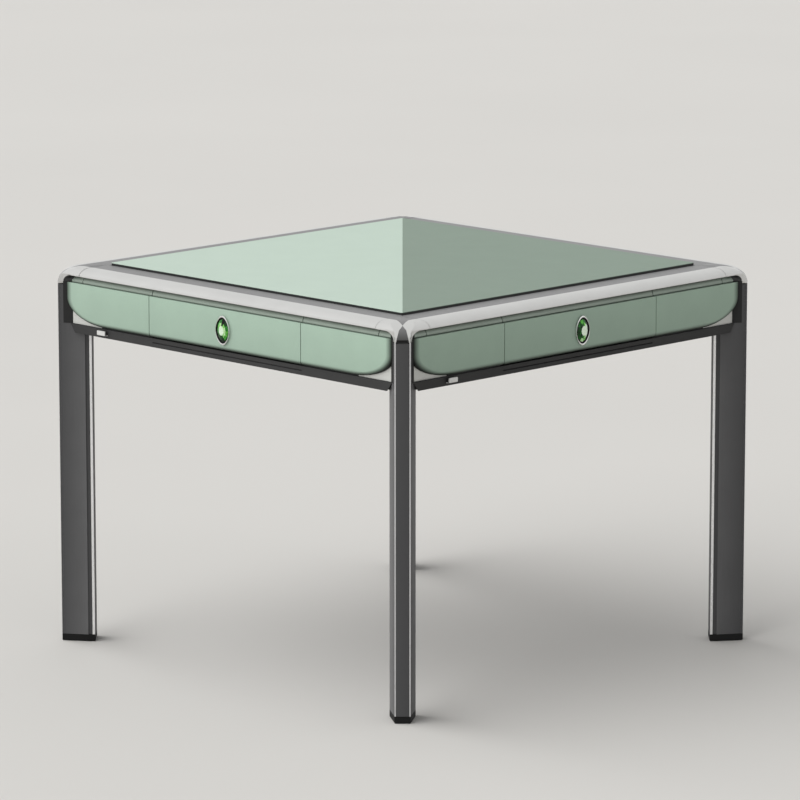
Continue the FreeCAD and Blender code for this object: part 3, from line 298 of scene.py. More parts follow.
def off_the_edge(tree, place):
    """1 on the flat of a front and 0 on its outline, below and round its ends, with less on its top face:
    the share against painted shade.
    """
    x, y, level = plan_parts(tree, place)
    along = add_node(tree, "ShaderNodeMath", {0: x, 1: y}, operation="MINIMUM")
    aside = add_node(tree, "ShaderNodeMapRange",
                     {"Value": along.outputs[0], "From Min": FRONT_END - ROUND_LONG, "From Max": FRONT_END})
    below = add_node(tree, "ShaderNodeMapRange",
                     {"Value": level, "From Min": FRONT_LOW + ROUND_TALL, "From Max": FRONT_LOW})
    corner = add_node(tree, "ShaderNodeCombineXYZ", {0: aside.outputs[0], 1: below.outputs[0]})
    reach = add_node(tree, "ShaderNodeVectorMath", {0: corner.outputs[0]}, operation="LENGTH")
    edge = add_node(tree, "ShaderNodeMapRange",
                    {"Value": reach.outputs["Value"], "From Min": 1.0, "From Max": 1.0 - EDGE_SHARE})
    out = add_node(tree, "ShaderNodeMath", {0: x, 1: y}, operation="MAXIMUM")
    back = add_node(tree, "ShaderNodeMath", {0: out.outputs[0], 1: FRONT_FACE}, operation="SUBTRACT")
    fades = add_node(tree, "ShaderNodeMath", {0: back.outputs[0], 1: TOP_FADE}, operation="DIVIDE")
    top = add_node(tree, "ShaderNodeMath", {0: fades.outputs[0]}, operation="EXPONENT")
    whole_height = add_node(tree, "ShaderNodeMapRange",
                            {"Value": level, "From Min": FRONT_LOW, "From Max": FRONT_HIGH,
                             "To Min": LOW_SHARE})
    foot = add_node(tree, "ShaderNodeMapRange",
                    {"Value": level, "From Min": FRONT_LOW, "From Max": FRONT_LOW + FOOT_FADE,
                     "To Min": FOOT_SHARE})
    edge = add_node(tree, "ShaderNodeMath", {0: edge.outputs[0], 1: foot.outputs[0]}, operation="MULTIPLY")
    share = add_node(tree, "ShaderNodeMath", {0: edge.outputs[0], 1: top.outputs[0]}, operation="MULTIPLY")
    share = add_node(tree, "ShaderNodeMath", {0: share.outputs[0], 1: whole_height.outputs[0]},
                     operation="MULTIPLY", use_clamp=True)
    return share.outputs[0]


print("falloff inside a front's round end:", round(EDGE_SHARE * ROUND_TALL / MM), "mm at its foot")

# %% Shares by level on the strips and the castings
# Painted shade at the top of a strip, under the band.
STRIP_FADE, STRIP_SHARE = 8 * MM, 0.2
NOSE_DARK, NOSE_LIGHT = CASTING_FOOT + 2 * MM, CASTING_FOOT + 26 * MM


def under_the_band(tree, place):
    """1 at a strip's foot and little at its top."""
    level = plan_parts(tree, place)[2]
    share = add_node(tree, "ShaderNodeMapRange",
                     {"Value": level, "From Min": STRIP_HIGH, "From Max": STRIP_HIGH - STRIP_FADE,
                      "To Min": STRIP_SHARE})
    return share.outputs[0]


def down_the_nose(tree, place):
    """1 at the top of a casting's nose and 0 at its foot."""
    level = plan_parts(tree, place)[2]
    share = add_node(tree, "ShaderNodeMapRange",
                     {"Value": level, "From Min": NOSE_DARK, "From Max": NOSE_LIGHT})
    return share.outputs[0]


print("strip top", round(STRIP_HIGH, 4), "nose from", round(NOSE_DARK, 4), "to", round(NOSE_LIGHT, 4))

# %% [markdown]
# ### Metals and painted metals
# An extrusion keeps fine lines along its length, so its grain is stretched upwards.
# Brushing does the same to a bright strip. Powder coat dries with a soft relief and little shine,
# and enamel that is sold as hammered dries in small dents.
# %% Metals and painted metals
STRETCH_UP = (1, 1, 0.02)
BRUSHED_UP = (1, 1, 0.03)
# Anodised aluminium: a dull dark skin that takes almost no highlight, with a painted reflection along its
# flank.
leg_metal = coated("dark_anodised_painted_sheen", "6a6a6b", "636364", 1.2, 0.46, stretch=STRETCH_UP,
                   relief=0.1, painted_light=(along_flank, "505051"), **{"Specular IOR Level": 0.08})
# Brushed aluminium: light along its length, with a soft streak of shine.
trim_metal = coated("bright_brushed_aluminium", "d6d6d8", "c8c8ca", 0.8, 0.30, metallic=0.9,
                    stretch=BRUSHED_UP)
# Polished aluminium: nearly white, the brightest line on a leg.
bright_metal = coated("polished_aluminium_lip", "f2f2f2", "e8e8e8", 0.8, 0.30, metallic=0.6,
                      stretch=BRUSHED_UP)
# Powder coat: near black and matt.
rail_metal = coated("powder_coated_rail", "3e3e3e", "383838", 1.6, 0.5, relief=0.25,
                    **{"Specular IOR Level": 0.12})
# Painted steel sheet: pale and plain, with a faint shine.
sheet_metal = coated("pale_painted_sheet", "cfd0cc", "c6c7c3", 2.0, 0.42, metallic=0.2)
# Zinc plate: cold grey with patches some millimetres wide.
zinc_metal = coated("zinc_plated_steel", "b6b8ba", "9a9c9f", 4.0, 0.36, metallic=0.9)
# Hammered enamel: grey, with small dents that glint.
machine_paint = coated("hammered_machine_paint", "70747a", "62666a", 3.0, 0.5, relief=0.35)
# Plated zinc casting: a bright mirror, hardly blurred.
plated = coated("bright_plated_zinc", "e6e6e4", "d2d2d0", 3.0, 0.14, metallic=0.95)
# Silver lacquer: metal flake under a clear coat, so it shines softly.
rim_paint = coated("silver_lacquer", "cdcdcb", "c6c6c4", 0.9, 0.42, metallic=0.7)
print("bright trim is", trim_metal.name)

# %% [markdown]
# ### Rubber and moulded plastic
# Both come out of a tool whose wall is etched, so they have a fine even grain and little shine.
# Rubber scatters most of its light, and a moulded plastic keeps a soft highlight.
# %% Rubber and moulded plastic
# Painted shade in the gaps beside the legs: dark grey, dead matt.
shade_strip_finish = coated("dark_grey_painted_shade", "343434", "2e2e2e", 1.0, 0.7, relief=0.3,
                     **{"Specular IOR Level": 0.1})
# Moulded rubber: black, matt.
rubber = coated("moulded_rubber", "171717", "101010", 1.0, 0.75, relief=0.4,
                **{"Specular IOR Level": 0.25})
# Black moulded plastic: deep grey once the room shines on it.
black_moulding = coated("black_moulded_plastic", "303030", "262626", 0.9, 0.46, relief=0.3)
# Grey moulded plastic: plain, for parts inside the machine.
grey_moulding = coated("grey_moulded_plastic", "b2b4b4", "a6a8a8", 0.9, 0.48, relief=0.25)
# Silver-coated plastic: paler and smoother than a bare moulding.
port_moulding = coated("silver_socket_moulding", "dededc", "cfcfce", 1.0, 0.34, metallic=0.35)
# Clear moulded plastic: smooth, with the refraction of acrylic.
clear_moulding = coated("clear_moulded_dome", "eef4f2", "e6eeec", 6.0, 0.06, swing=0.02,
                        **{"Transmission Weight": 1.0, "IOR": 1.49})
print("clear dome is", clear_moulding.name)

# %% [markdown]
# ### Board, felt, laminate and lacquer
# The deck is sealed board under wool felt. The dining cover is board with a banded edge,
# faced with laminate whose two halves meet on its diagonal, one painted pale and one deep, as a painted
# reflection.
# The fronts and strips are sprayed with a pale green lacquer, smooth and a little metallic.
# %% Board, felt, laminate and lacquer
ALONG_BOARD = (0.08, 1, 1)
# Edge banding: near black, satin.
edge_band = coated("black_edge_band", "1c1c1c", "121212", 1.2, 0.5)
# Sealed board: brown, with fibres that run one way.
board = coated("sealed_board", "98805f", "7c6548", 1.5, 0.6, stretch=ALONG_BOARD, relief=0.3)
# Wool felt: deep green and quite without shine, with a coarse nap.
felt = coated("green_wool_felt", "3f8a6a", "2c6e52", 1.4, 0.95, relief=0.8)
# Laminates: flat colour, low shine; their pale and deep halves are a painted reflection.
laminate_painted_bright = coated("pale_green_painted_reflection", "bdcec1", "bacbbe", 1.2, 0.6, **{"Specular IOR Level": 0.25})
laminate_painted_dim = coated("deep_green_painted_reflection", "7e8e81", "7b8b7e", 1.2, 0.6, **{"Specular IOR Level": 0.25})
# Lacquer on the fronts: pale green, with painted shade falling to near black round its outline and foot.
front_paint = coated("pale_green_lacquer_painted_shade", "a5bcab", "9fb5a5", 0.9, 0.34, metallic=0.03,
                     painted_light=(off_the_edge, "0c140e"), **{"Specular IOR Level": 0.25})
# Lacquer on the strips: greyer and more metallic, with painted shade at the top under the rim.
strip_paint = coated("grey_green_lacquer_painted_shade", "96a297", "909c91", 0.9, 0.38, metallic=0.35,
                     painted_light=(under_the_band, "1a201c"))
print("front lacquer is", front_paint.name)

# %% [markdown]
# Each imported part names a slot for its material, and one list says which finish stands for which slot.
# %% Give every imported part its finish
FINISHES = {
    "dark_anodised": leg_metal, "bright_trim": trim_metal, "black_rubber": rubber,
    "cast_silver": rim_paint, "rim_silver": rim_paint, "rail_dark": rail_metal,
    "mint_metallic": front_paint, "strip_grey_green": strip_paint, "pale_sheet": sheet_metal,
    "zinc_steel": zinc_metal, "port_silver": port_moulding, "black_plastic": black_moulding,
    "knob_chrome": plated, "knob_crystal": clear_moulding, "grey_plastic": grey_moulding,
    "cover_core": edge_band, "cover_light": laminate_painted_bright, "cover_dark": laminate_painted_dim,
    "deck_board": board, "green_felt": felt, "clear_dome": clear_moulding,
    "machine_steel": machine_paint,
}
slot_of = {part["node"]: part["material_slot"] for part in frame["record"]["subparts"]}
for name, part in frame["nodes"].items():
    part.data.materials.clear()
    part.data.materials.append(FINISHES[slot_of[name]])
print("slots:", len(FINISHES))

# %% [markdown]
# ## Pieces with softened edges
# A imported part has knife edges, but an extrusion, a casting or a lacquered board never does:
# a radius of half a millimetre is what catches the light along every edge.
# A copy of the part is merged into a closed shell, its edges are bevelled,
# and the copy stands for the part.
# %% Helpers that shape a copy
MERGE_WITHIN = 0.01 * MM
FLAT_TO = math.radians(0.5)


def closed_copy(node):
    """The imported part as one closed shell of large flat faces."""
    shape = bmesh.new()
    shape.from_mesh(frame["nodes"][node].data)
    bmesh.ops.remove_doubles(shape, verts=shape.verts, dist=MERGE_WITHIN)
    bmesh.ops.dissolve_limit(shape, angle_limit=FLAT_TO, verts=shape.verts, edges=shape.edges)
    return shape


def soften(shape, radius_mm, steps=2, over=30.0, pick=None):
    """Bevels the edges that turn by more than an angle, or those that pick chooses."""
    edges = [edge for edge in shape.edges if edge.is_manifold
             and edge.calc_face_angle() > math.radians(over) and (pick is None or pick(edge))]
    bmesh.ops.bevel(shape, geom=edges, offset=radius_mm * MM, offset_type="OFFSET", segments=steps,
                    profile=0.5, affect="EDGES", material=-1, clamp_overlap=False)


rail_copy = closed_copy("base_rails")
print("faces of the rails:", len(frame["nodes"]["base_rails"].data.polygons), "as packed,",
      len(rail_copy.faces), "as closed shells")
rail_copy.free()

# %% [markdown]
# A finished shape becomes an object that rides on the body of the part it stands for,
# so that it moves with a drawer or the cover. Its large faces shade as flat ones
# and its small bevels as round ones, which weighted normals do.
# %% Helpers that make a piece
body_of = {node: body for body, nodes in frame["record"]["behaviour"]["bodies"].items() for node in nodes}


def piece(name, shape, finishes, body, replaces=(), crease=35.0):
    """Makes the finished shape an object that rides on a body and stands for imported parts."""
    data = bpy.data.meshes.new(name)
    shape.to_mesh(data)
    shape.free()
    for finish in finishes:
        data.materials.append(finish)
    for face in data.polygons:
        face.use_smooth = True
    data.set_sharp_from_angle(angle=math.radians(crease))
    made = bpy.data.objects.new(name, data)
    bpy.context.scene.collection.objects.link(made)
    made.modifiers.new("even_shading", "WEIGHTED_NORMAL").keep_sharp = True
    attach(made, body)
    if replaces:
        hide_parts(*replaces)
    return made


def stand_for(node, shape, finishes=(), crease=35.0):
    """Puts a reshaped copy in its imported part's place, with the part's own finish first."""
    own = FINISHES[slot_of[node]]
    return piece("soft_" + node, shape, [own, *finishes], body_of[node], [node], crease)


print("bodies that pieces can ride on:", len(set(body_of.values())))

# %% [markdown]
# Most parts only need their edges broken. The slanted ends of the rails are painted black as painted shade
# beside the legs.
# The strips get a lip of one millimetre at their foot, so that the gap over the fronts,
# which the drawers need, looks as thin as a seam.
# %% Rails, strips, brackets, cover and other straight parts
STRIP_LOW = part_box("trim_strips")[0][2]
STRIP_LIP = 1.0 * MM
HAIR = 0.1 * MM
EDGE_RADIUS_MM = {"leg_shoes": 1.0, "base_rails": 0.8, "trim_strips": 0.3, "corner_brackets": 0.8,
                  "drawer_guides": 0.5, "lift_guides": 0.5, "bottom_tray": 0.8, "control_box": 0.6,
                  "cover_board": 0.5, "cover_light_half": 0.3, "cover_dark_half": 0.3}


def corner_way(point):
    """The level direction from the table's middle to the corner that a point is nearest."""
    return Vector((math.copysign(1, point.x), math.copysign(1, point.y), 0)).normalized()


def lower_the_foot(shape):
    """Gives the strips a lip at their foot."""
    for vertex in shape.verts:
        if vertex.co.z < STRIP_LOW + HAIR:
            vertex.co.z -= STRIP_LIP


def looks_across_corner(at, way):
    """True for the slanted end of a rail, whose normal is level and square to the corner's diagonal."""
    return abs(way.dot(corner_way(at))) < 0.1 and abs(way.x * way.y) > 0.2


def paint(shape, number, where):
    """Gives a finish, by its number, to each face whose middle and normal pass a test."""
    shape.normal_update()
    for face in shape.faces:
        if where(face.calc_center_median(), face.normal):
            face.material_index = number


for node, radius_mm in EDGE_RADIUS_MM.items():
    shape = closed_copy(node)
    if node == "trim_strips":
        lower_the_foot(shape)
    soften(shape, radius_mm)
    # Painted shade: the slanted ends of the rails are painted black.
    if node == "base_rails":
        paint(shape, 1, looks_across_corner)
    stand_for(node, shape, [black_moulding])
print("softened parts:", len(EDGE_RADIUS_MM))

# %% [markdown]
# ## Legs
# A leg is a dark extrusion with a bright strip let into each edge of its nose and a lip along its rear.
# The nose is not quite flat: its middle stands a millimetre proud, so it carries a gradient
# from one side to the other. The neck above the leg is black, and the nose strips
# run on past it up to the casting. Their sides, which lie in the flank, are dark like the leg.
# %% Legs with a crowned nose and a black neck
LEG_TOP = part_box("leg_trims")[1][2]
NOSE_CROWN = 0.9 * MM
CROWN_HALF = 12.5 * MM
CROWN_CUTS = (-0.75, -0.4, 0, 0.4, 0.75)
CUT_WITHIN = 0.001 * MM


def side_names(stem):
    """The four names of a part that is repeated on each side or corner."""
    return [f"{stem}_{side}" for side in (1, 2, 3, 4)]


def whole(shape):
    """Every vertex, edge and face of a shape, as the cutting and copying tools want them."""
    return [*shape.verts, *shape.edges, *shape.faces]


def cut(shape, point, normal, drop_outer=False):
    """Cuts every face along a plane. Both sides stay, unless the outer one is dropped."""
    bmesh.ops.bisect_plane(shape, geom=whole(shape), plane_co=point, plane_no=normal, dist=CUT_WITHIN,
                           clear_outer=drop_outer)


for node in side_names("leg"):
    shape = closed_copy(node)
    outward = corner_way(frame["nodes"][node].data.vertices[0].co)
    across = Vector((-outward.y, outward.x, 0))
    for share in CROWN_CUTS:
        cut(shape, across * share * CROWN_HALF, across)
    for vertex in shape.verts:
        aside = abs(vertex.co.dot(across)) / CROWN_HALF
        if vertex.co.dot(outward) > LEG_NOSE_OUT - MM and vertex.co.z <= LEG_TOP + HAIR:
            vertex.co += outward * NOSE_CROWN * max(0.0, 1 - aside * aside)
    soften(shape, 0.6, over=60.0)
    paint(shape, 1, lambda at, way: at.z > LEG_TOP - HAIR)
    stand_for(node, shape, [black_moulding])
print("leg top", round(LEG_TOP, 4))

# %% Bright strips along the legs
STRIP_SEAT = 5 * MM
DARK_SIDE, REAR_LIP = 1, 2


def on_nose_strip(point):
    """True near a leg's nose, where the nose strips lie."""
    return point.dot(corner_way(point)) > LEG_NOSE_OUT - STRIP_SEAT


def in_the_flank(at, way):
    """True for the side of a nose strip, which lies flush in the leg's flank."""
    return on_nose_strip(at) and abs(way.dot(corner_way(at))) < 0.5 and abs(way.z) < 0.5


shape = closed_copy("leg_trims")
for vertex in shape.verts:
    if vertex.co.z > LEG_TOP - HAIR and on_nose_strip(vertex.co):
        vertex.co.z = CASTING_FOOT
soften(shape, 0.4)
paint(shape, DARK_SIDE, in_the_flank)
paint(shape, REAR_LIP, lambda at, way: at.dot(corner_way(at)) < LEG_STEP_OUT)
stand_for("leg_trims", shape, [leg_metal, bright_metal])
print("nose strips end at", round(CASTING_FOOT, 4))

# %% [markdown]
# A dark strip of painted shade fills the gap between each leg's flank and the front beside it.
# It is one thin upright slab against the flank, extruded from a foot of four points,
# mirrored to the other flank and turned to the other three corners.
# %% Strips of painted shade between the legs and the fronts
SHADE_STRIP_START, SHADE_STRIP_END = 649.0 * MM, 667.4 * MM
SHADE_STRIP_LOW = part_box("base_rails")[1][2] + 0.3 * MM
SHADE_STRIP_HIGH = STRIP_LOW - 0.5 * MM
SHADE_STRIP_THICK, SHADE_STRIP_CLEAR = 0.8 * MM, 0.05 * MM
LEG_NOSE_HALF, LEG_FLARE_HALF = 15.0 * MM, 24.5 * MM
FLANK_SLOPE = (LEG_FLARE_HALF - LEG_NOSE_HALF) / (LEG_NOSE_OUT - LEG_STEP_OUT)


def moved_verts(result):
    """The vertices in what an extrusion or a copy gives back."""
    return [part for part in result["geom"] if isinstance(part, bmesh.types.BMVert)]


def turned(shape, degrees, verts=None):
    """Turns the shape, or some vertices of it, about the table's upright middle line."""
    bmesh.ops.rotate(shape, verts=verts or shape.verts, cent=(0, 0, 0),
                     matrix=Matrix.Rotation(math.radians(degrees), 3, "Z"))


shape = bmesh.new()
for out, thick in ((SHADE_STRIP_START, 0), (SHADE_STRIP_START, SHADE_STRIP_THICK), (SHADE_STRIP_END, SHADE_STRIP_THICK), (SHADE_STRIP_END, 0)):
    flank = LEG_NOSE_HALF + FLANK_SLOPE * (LEG_NOSE_OUT - out) + SHADE_STRIP_CLEAR
    shape.verts.new((out, flank + thick, SHADE_STRIP_LOW))
foot = bmesh.ops.contextual_create(shape, geom=shape.verts[:])["faces"]
raised = moved_verts(bmesh.ops.extrude_face_region(shape, geom=foot))
bmesh.ops.translate(shape, verts=raised, vec=(0, 0, SHADE_STRIP_HIGH - SHADE_STRIP_LOW))
bmesh.ops.mirror(shape, geom=whole(shape), axis="Y", merge_dist=-1)
turned(shape, -45)
one_corner = whole(shape)
for quarter in (1, 2, 3):
    turned(shape, 90 * quarter, moved_verts(bmesh.ops.duplicate(shape, geom=one_corner)))
bmesh.ops.recalc_face_normals(shape, faces=shape.faces)
print("seals:", len(shape.verts) // 8, "of", round((SHADE_STRIP_HIGH - SHADE_STRIP_LOW) / MM, 1), "mm tall")
piece("corner_shade_strips", shape, [shade_strip_finish], "table")

# %% [markdown]
# ## Fixed fronts and the sheet behind them
# The fronts are lacquered boards with a big round lower corner. The sheet that shows in the corners
# below them is pale, but its folded top and its foot are painted black as painted shade, so that the seams
# over and under the fronts stay dark.
# %% Fixed fronts and skirts
shape = closed_copy("side_fronts")
soften(shape, 0.4)
stand_for("side_fronts", shape)

SHEET_SHADE_FROM = FRONT_HIGH - 3 * MM
SHEET_SHADE_TO = FRONT_LOW + 3 * MM
PALE_FROM = 358 * MM
shape = closed_copy("side_skirts")
for level in (SHEET_SHADE_FROM, SHEET_SHADE_TO):
    cut(shape, (0, 0, level), (0, 0, 1))
for hand in (1, -1):
    cut(shape, (hand * PALE_FROM, 0, 0), (1, 0, 0))
    cut(shape, (0, hand * PALE_FROM, 0), (0, 1, 0))
soften(shape, 0.4, over=60.0)
# Painted shade: the folded top and the foot of the sheet are painted black.
paint(shape, 1, lambda at, way: at.z > SHEET_SHADE_FROM)
paint(shape, 1, lambda at, way: at.z < SHEET_SHADE_TO and min(abs(at.x), abs(at.y)) < PALE_FROM)
stand_for("side_skirts", shape, [black_moulding])
print("front face at", round(FRONT_FACE, 4), "sheet pale from", PALE_FROM)

# %% [markdown]
# ## Charging sockets
# Near one end of each rail sits a small socket: a wedge painted black as painted shade, with a silver lip,
# behind a silver shutter with rounded corners. The imported housings are cut off
# at the shutter's back, and four shutters are made from softened blocks.
# %% Black wedges with a silver lip
SHUTTER_BACK = 482 * MM
LIP_HIGH = 2 * MM
SOCKET_LOW, SOCKET_HIGH = (corner[2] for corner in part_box("charging_ports"))
shape = closed_copy("charging_ports")
cut(shape, (0, 0, SOCKET_LOW + LIP_HIGH), (0, 0, 1))
for quarter in range(4):
    turned(shape, 90)
    cut(shape, (SHUTTER_BACK, 0, 0), (1, 0, 0), drop_outer=True)
bmesh.ops.holes_fill(shape, edges=[edge for edge in shape.edges if edge.is_boundary])
bmesh.ops.recalc_face_normals(shape, faces=shape.faces)
# Painted shade: the wedge is black above its silver lip.
paint(shape, 1, lambda at, way: at.z < SOCKET_LOW + LIP_HIGH)
piece("socket_wedges", shape, [black_moulding, port_moulding], "table", ["charging_ports"])
print("socket level", round(SOCKET_LOW, 4), round(SOCKET_HIGH, 4))

# %% Silver shutters
SHUTTER_SIZE = (23 * MM, 2 * MM, SOCKET_HIGH - SOCKET_LOW - 1.5 * MM)
SOCKET_MIDDLE = Vector((-350 * MM, -SHUTTER_BACK - SHUTTER_SIZE[1] / 2, (SOCKET_LOW + SOCKET_HIGH) / 2))


def is_short_edge(edge):
    """True for an edge that runs through the shutter's thickness."""
    return abs(edge.verts[0].co.y - edge.verts[1].co.y) > MM


def is_front_edge(edge):
    """True for an edge on the shutter's outer side."""
    return edge.verts[0].co.y < 0 and edge.verts[1].co.y < 0


for number, side in enumerate((1, 2, 3, 4)):
    shape = bmesh.new()
    bmesh.ops.create_cube(shape, size=1.0)
    bmesh.ops.scale(shape, verts=shape.verts, vec=SHUTTER_SIZE)
    soften(shape, 1.6, steps=3, pick=is_short_edge)
    soften(shape, 0.4, over=60.0, pick=is_front_edge)
    bmesh.ops.translate(shape, verts=shape.verts, vec=SOCKET_MIDDLE)
    turned(shape, 90 * number)
    piece(f"socket_shutter_{side}", shape, [port_moulding], "table")
print("shutter, mm:", [round(length / MM, 1) for length in SHUTTER_SIZE])

# %% [markdown]
# ## Rim and corner castings
# The rim has two finishes. Its flat top is painted satin grey as a painted reflection, and the rounded band
# outside it is silver.
# At a corner the two bands meet in one point, the grey top runs out into that point,
# and below it the dark nose of the leg goes on up the casting.
# A black line of painted shade lies across the nose, where the casting sits on the leg.
# Each part is cut along those lines, and the faces between them take their own finish. The hollow sweeps
# under the band are painted black as painted shade.
# %% Cut and colour the rim bars
GREY_HALF = 450 * MM
SILVER, GREY, NOSE, SWEEP_SHADE, JOINT_SHADE = 0, 1, 2, 3, 4
# Painted reflection: the flat top of the rim and the casting is painted a darker grey than the band.
rim_top_reflection_grey = coated("grey_painted_reflection", "797979", "727272", 0.9, 0.5, relief=0.1)
for number, node in enumerate(side_names("top_rim")):
    shape = closed_copy(node)
    turned(shape, -90 * number)
    cut(shape, (0, -GREY_HALF, 0), (0, 1, 0))
    paint(shape, GREY, lambda at, way: at.y > -GREY_HALF)
    soften(shape, 0.5)
    turned(shape, 90 * number)
    piece("lacquered_" + node, shape, [rim_paint, rim_top_reflection_grey], "table", [node], crease=30.0)
print("grey from the middle out to", GREY_HALF)

# %% [markdown]
# A casting is coloured while its nose points along X, where out is a distance along the nose
# and across is a distance to one side of it. The grey top narrows in a neck towards the point
# where the silver bands pinch it off. The dark nose starts there and widens downwards.
# %% Lines on a corner casting
PINCH_OUT, PINCH_HIGH = 654 * MM, 749.5 * MM
NECK_OUT, NECK_HALF = 636 * MM, 7 * MM
NOSE_EDGE = [(0.0, 749.5 * MM), (6.8 * MM, 743 * MM), (10.5 * MM, 730 * MM), (12.0 * MM, 722 * MM)]
BAND_LOW = CASTING_FOOT + 18 * MM
JOINT_SHADE_TOP = CASTING_FOOT + 4.5 * MM
BRIGHT_FROM = 666.5 * MM


def nose_half(level):
    """Half width of the dark nose at a level on the casting."""
    for (w0, z0), (w1, z1) in zip(NOSE_EDGE, NOSE_EDGE[1:]):
        if level > z1:
            return w0 + (w1 - w0) * (z0 - level) / (z0 - z1)
    return NOSE_EDGE[-1][0]


def cut_casting(shape):
    """Cuts a casting whose nose points along X wherever its finish changes."""
    cut(shape, (BRIGHT_FROM, 0, 0), (1, 0, 0))
    cut(shape, (0, 0, BAND_LOW), (0, 0, 1))
    cut(shape, (0, 0, JOINT_SHADE_TOP), (0, 0, 1))
    for hand in (1, -1):
        cut(shape, (PINCH_OUT, 0, 0), (NECK_HALF, hand * (PINCH_OUT - NECK_OUT), 0))
        for (w0, z0), (w1, z1) in zip(NOSE_EDGE, NOSE_EDGE[1:]):
            cut(shape, (0, hand * w0, z0), (0, hand * (z0 - z1), w1 - w0))


def casting_finish(at, way):
    """The finish of a casting's face, from its middle and its normal."""
    out, across = at.x, abs(at.y)
    # Painted shade: the foot of the nose is a black line where the casting sits on the leg.
    if at.z < PINCH_HIGH and across < nose_half(at.z) and out > PINCH_OUT:
        return NOSE if at.z > JOINT_SHADE_TOP else JOINT_SHADE
    # Painted shade: the hollow sweeps under the band are painted black.
    if at.z < BAND_LOW and out < BRIGHT_FROM and abs(way.x) < 0.3 and way.y * at.y > 0:
        return SWEEP_SHADE
    in_neck = across < (PINCH_OUT - out) * NECK_HALF / (PINCH_OUT - NECK_OUT)
    if in_neck or (out + across) * math.sqrt(0.5) < GREY_HALF:
        return GREY
    return SILVER


print("dark nose, mm wide at its foot:", 2 * nose_half(CASTING_FOOT) / MM)

# %% Cut and colour the corner castings
nose_grey = coated("dark_nose_lacquer", "747474", "6c6c6c", 0.9, 0.42, metallic=0.1,
                   painted_light=(down_the_nose, "3c3c3c"))
CASTING_FINISHES = [rim_paint, rim_top_reflection_grey, nose_grey, black_moulding, rubber]
for number, node in enumerate(side_names("corner_casting")):
    shape = closed_copy(node)
    turned(shape, -90 * number)
    cut(shape, (GREY_HALF, 0, 0), (1, 0, 0))
    cut(shape, (0, -GREY_HALF, 0), (0, 1, 0))
    turned(shape, 45)
    cut_casting(shape)
    shape.normal_update()
    for face in shape.faces:
        face.material_index = casting_finish(face.calc_center_median(), face.normal)
    turned(shape, 90 * number - 45)
    piece("lacquered_" + node, shape, CASTING_FINISHES, "table", [node], crease=40.0)
print("finishes on a casting:", len(CASTING_FINISHES))

# %% [markdown]
# ## Knobs
# Each drawer has an oval knob: a plated bezel that comes to a slight point at both ends
# and is broad there but thin along its sides, a black setting inside it as painted shade round the stone,
# and a green cut crystal with painted reflections. Bezel and setting are small sections spun in a full turn
# and then squeezed to an oval, more at the rim than inside, which is what thins the sides.
# %% Helpers for spun pieces
# Half the knob's height and width, and the sections below, are in millimetres.
KNOB_TALL, KNOB_WIDE = 29.0, 18.8
POINTED = 0.16
INNER_WIDENS = 0.016
WIDENS_OVER = 4.0
KNOB_LEVEL = (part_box("knob_bezel_1")[0][2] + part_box("knob_bezel_1")[1][2]) / 2


def to_knob(shape, number):
    """Squeezes a round shape to the pointed oval, and stands it on the front of a side."""
    for vertex in shape.verts:
        radius = math.hypot(vertex.co.x, vertex.co.y) / MM
        thin = KNOB_WIDE / KNOB_TALL + INNER_WIDENS * min(KNOB_TALL - radius, WIDENS_OVER)
        share = vertex.co.y / MM / KNOB_TALL
        vertex.co.x *= thin * (1 - POINTED * share * share)
    bmesh.ops.rotate(shape, verts=shape.verts, cent=(0, 0, 0), matrix=Matrix.Rotation(math.pi / 2, 3, "X"))
    bmesh.ops.translate(shape, verts=shape.verts, vec=(0, -FRONT_FACE, KNOB_LEVEL))
    turned(shape, 90 * number)
    bmesh.ops.recalc_face_normals(shape, faces=shape.faces)


def spun(section, steps=72):
    """A closed section of (radius, height) millimetres, spun in a full turn about Z."""
    shape = bmesh.new()
    ring = [shape.verts.new((radius * MM, 0, height * MM)) for radius, height in section]
    edges = [shape.edges.new((ring[i - 1], ring[i])) for i in range(len(ring))]
    bmesh.ops.spin(shape, geom=[*ring, *edges], cent=(0, 0, 0), axis=(0, 0, 1), angle=math.tau,
                   steps=steps, use_merge=True)
    bmesh.ops.remove_doubles(shape, verts=shape.verts, dist=CUT_WITHIN)
    return shape


print("knob", 2 * KNOB_TALL, "by", 2 * KNOB_WIDE, "at level", round(KNOB_LEVEL, 4))

# %% Bezels and settings
BEZEL_SECTION = [(23.2, 0.0), (26.5, 0.0), (28.6, 1.2), (29.0, 2.6), (28.5, 3.9), (27.0, 4.5),
                 (25.6, 4.2), (25.0, 3.2), (24.8, 1.4), (23.2, 1.3)]
SETTING_SECTION = [(20.5, 1.3), (24.7, 1.3), (24.7, 3.3), (23.6, 3.5), (21.6, 2.6), (20.5, 2.2)]
# Painted shade: the setting is black where the bezel shades the stone.
setting_painted_shade = coated("setting_painted_shade_black", "121212", "0a0a0a", 1.0, 0.4, **{"Specular IOR Level": 0.1})
for number, side in enumerate((1, 2, 3, 4)):
    shape = spun(BEZEL_SECTION)
    to_knob(shape, number)
    piece(f"oval_bezel_{side}", shape, [plated], f"drawer_{side}",
          [f"knob_bezel_{side}"], crease=60.0)
    shape = spun(SETTING_SECTION)
    to_knob(shape, number)
    piece(f"black_setting_{side}", shape, [setting_painted_shade], f"drawer_{side}", crease=50.0)

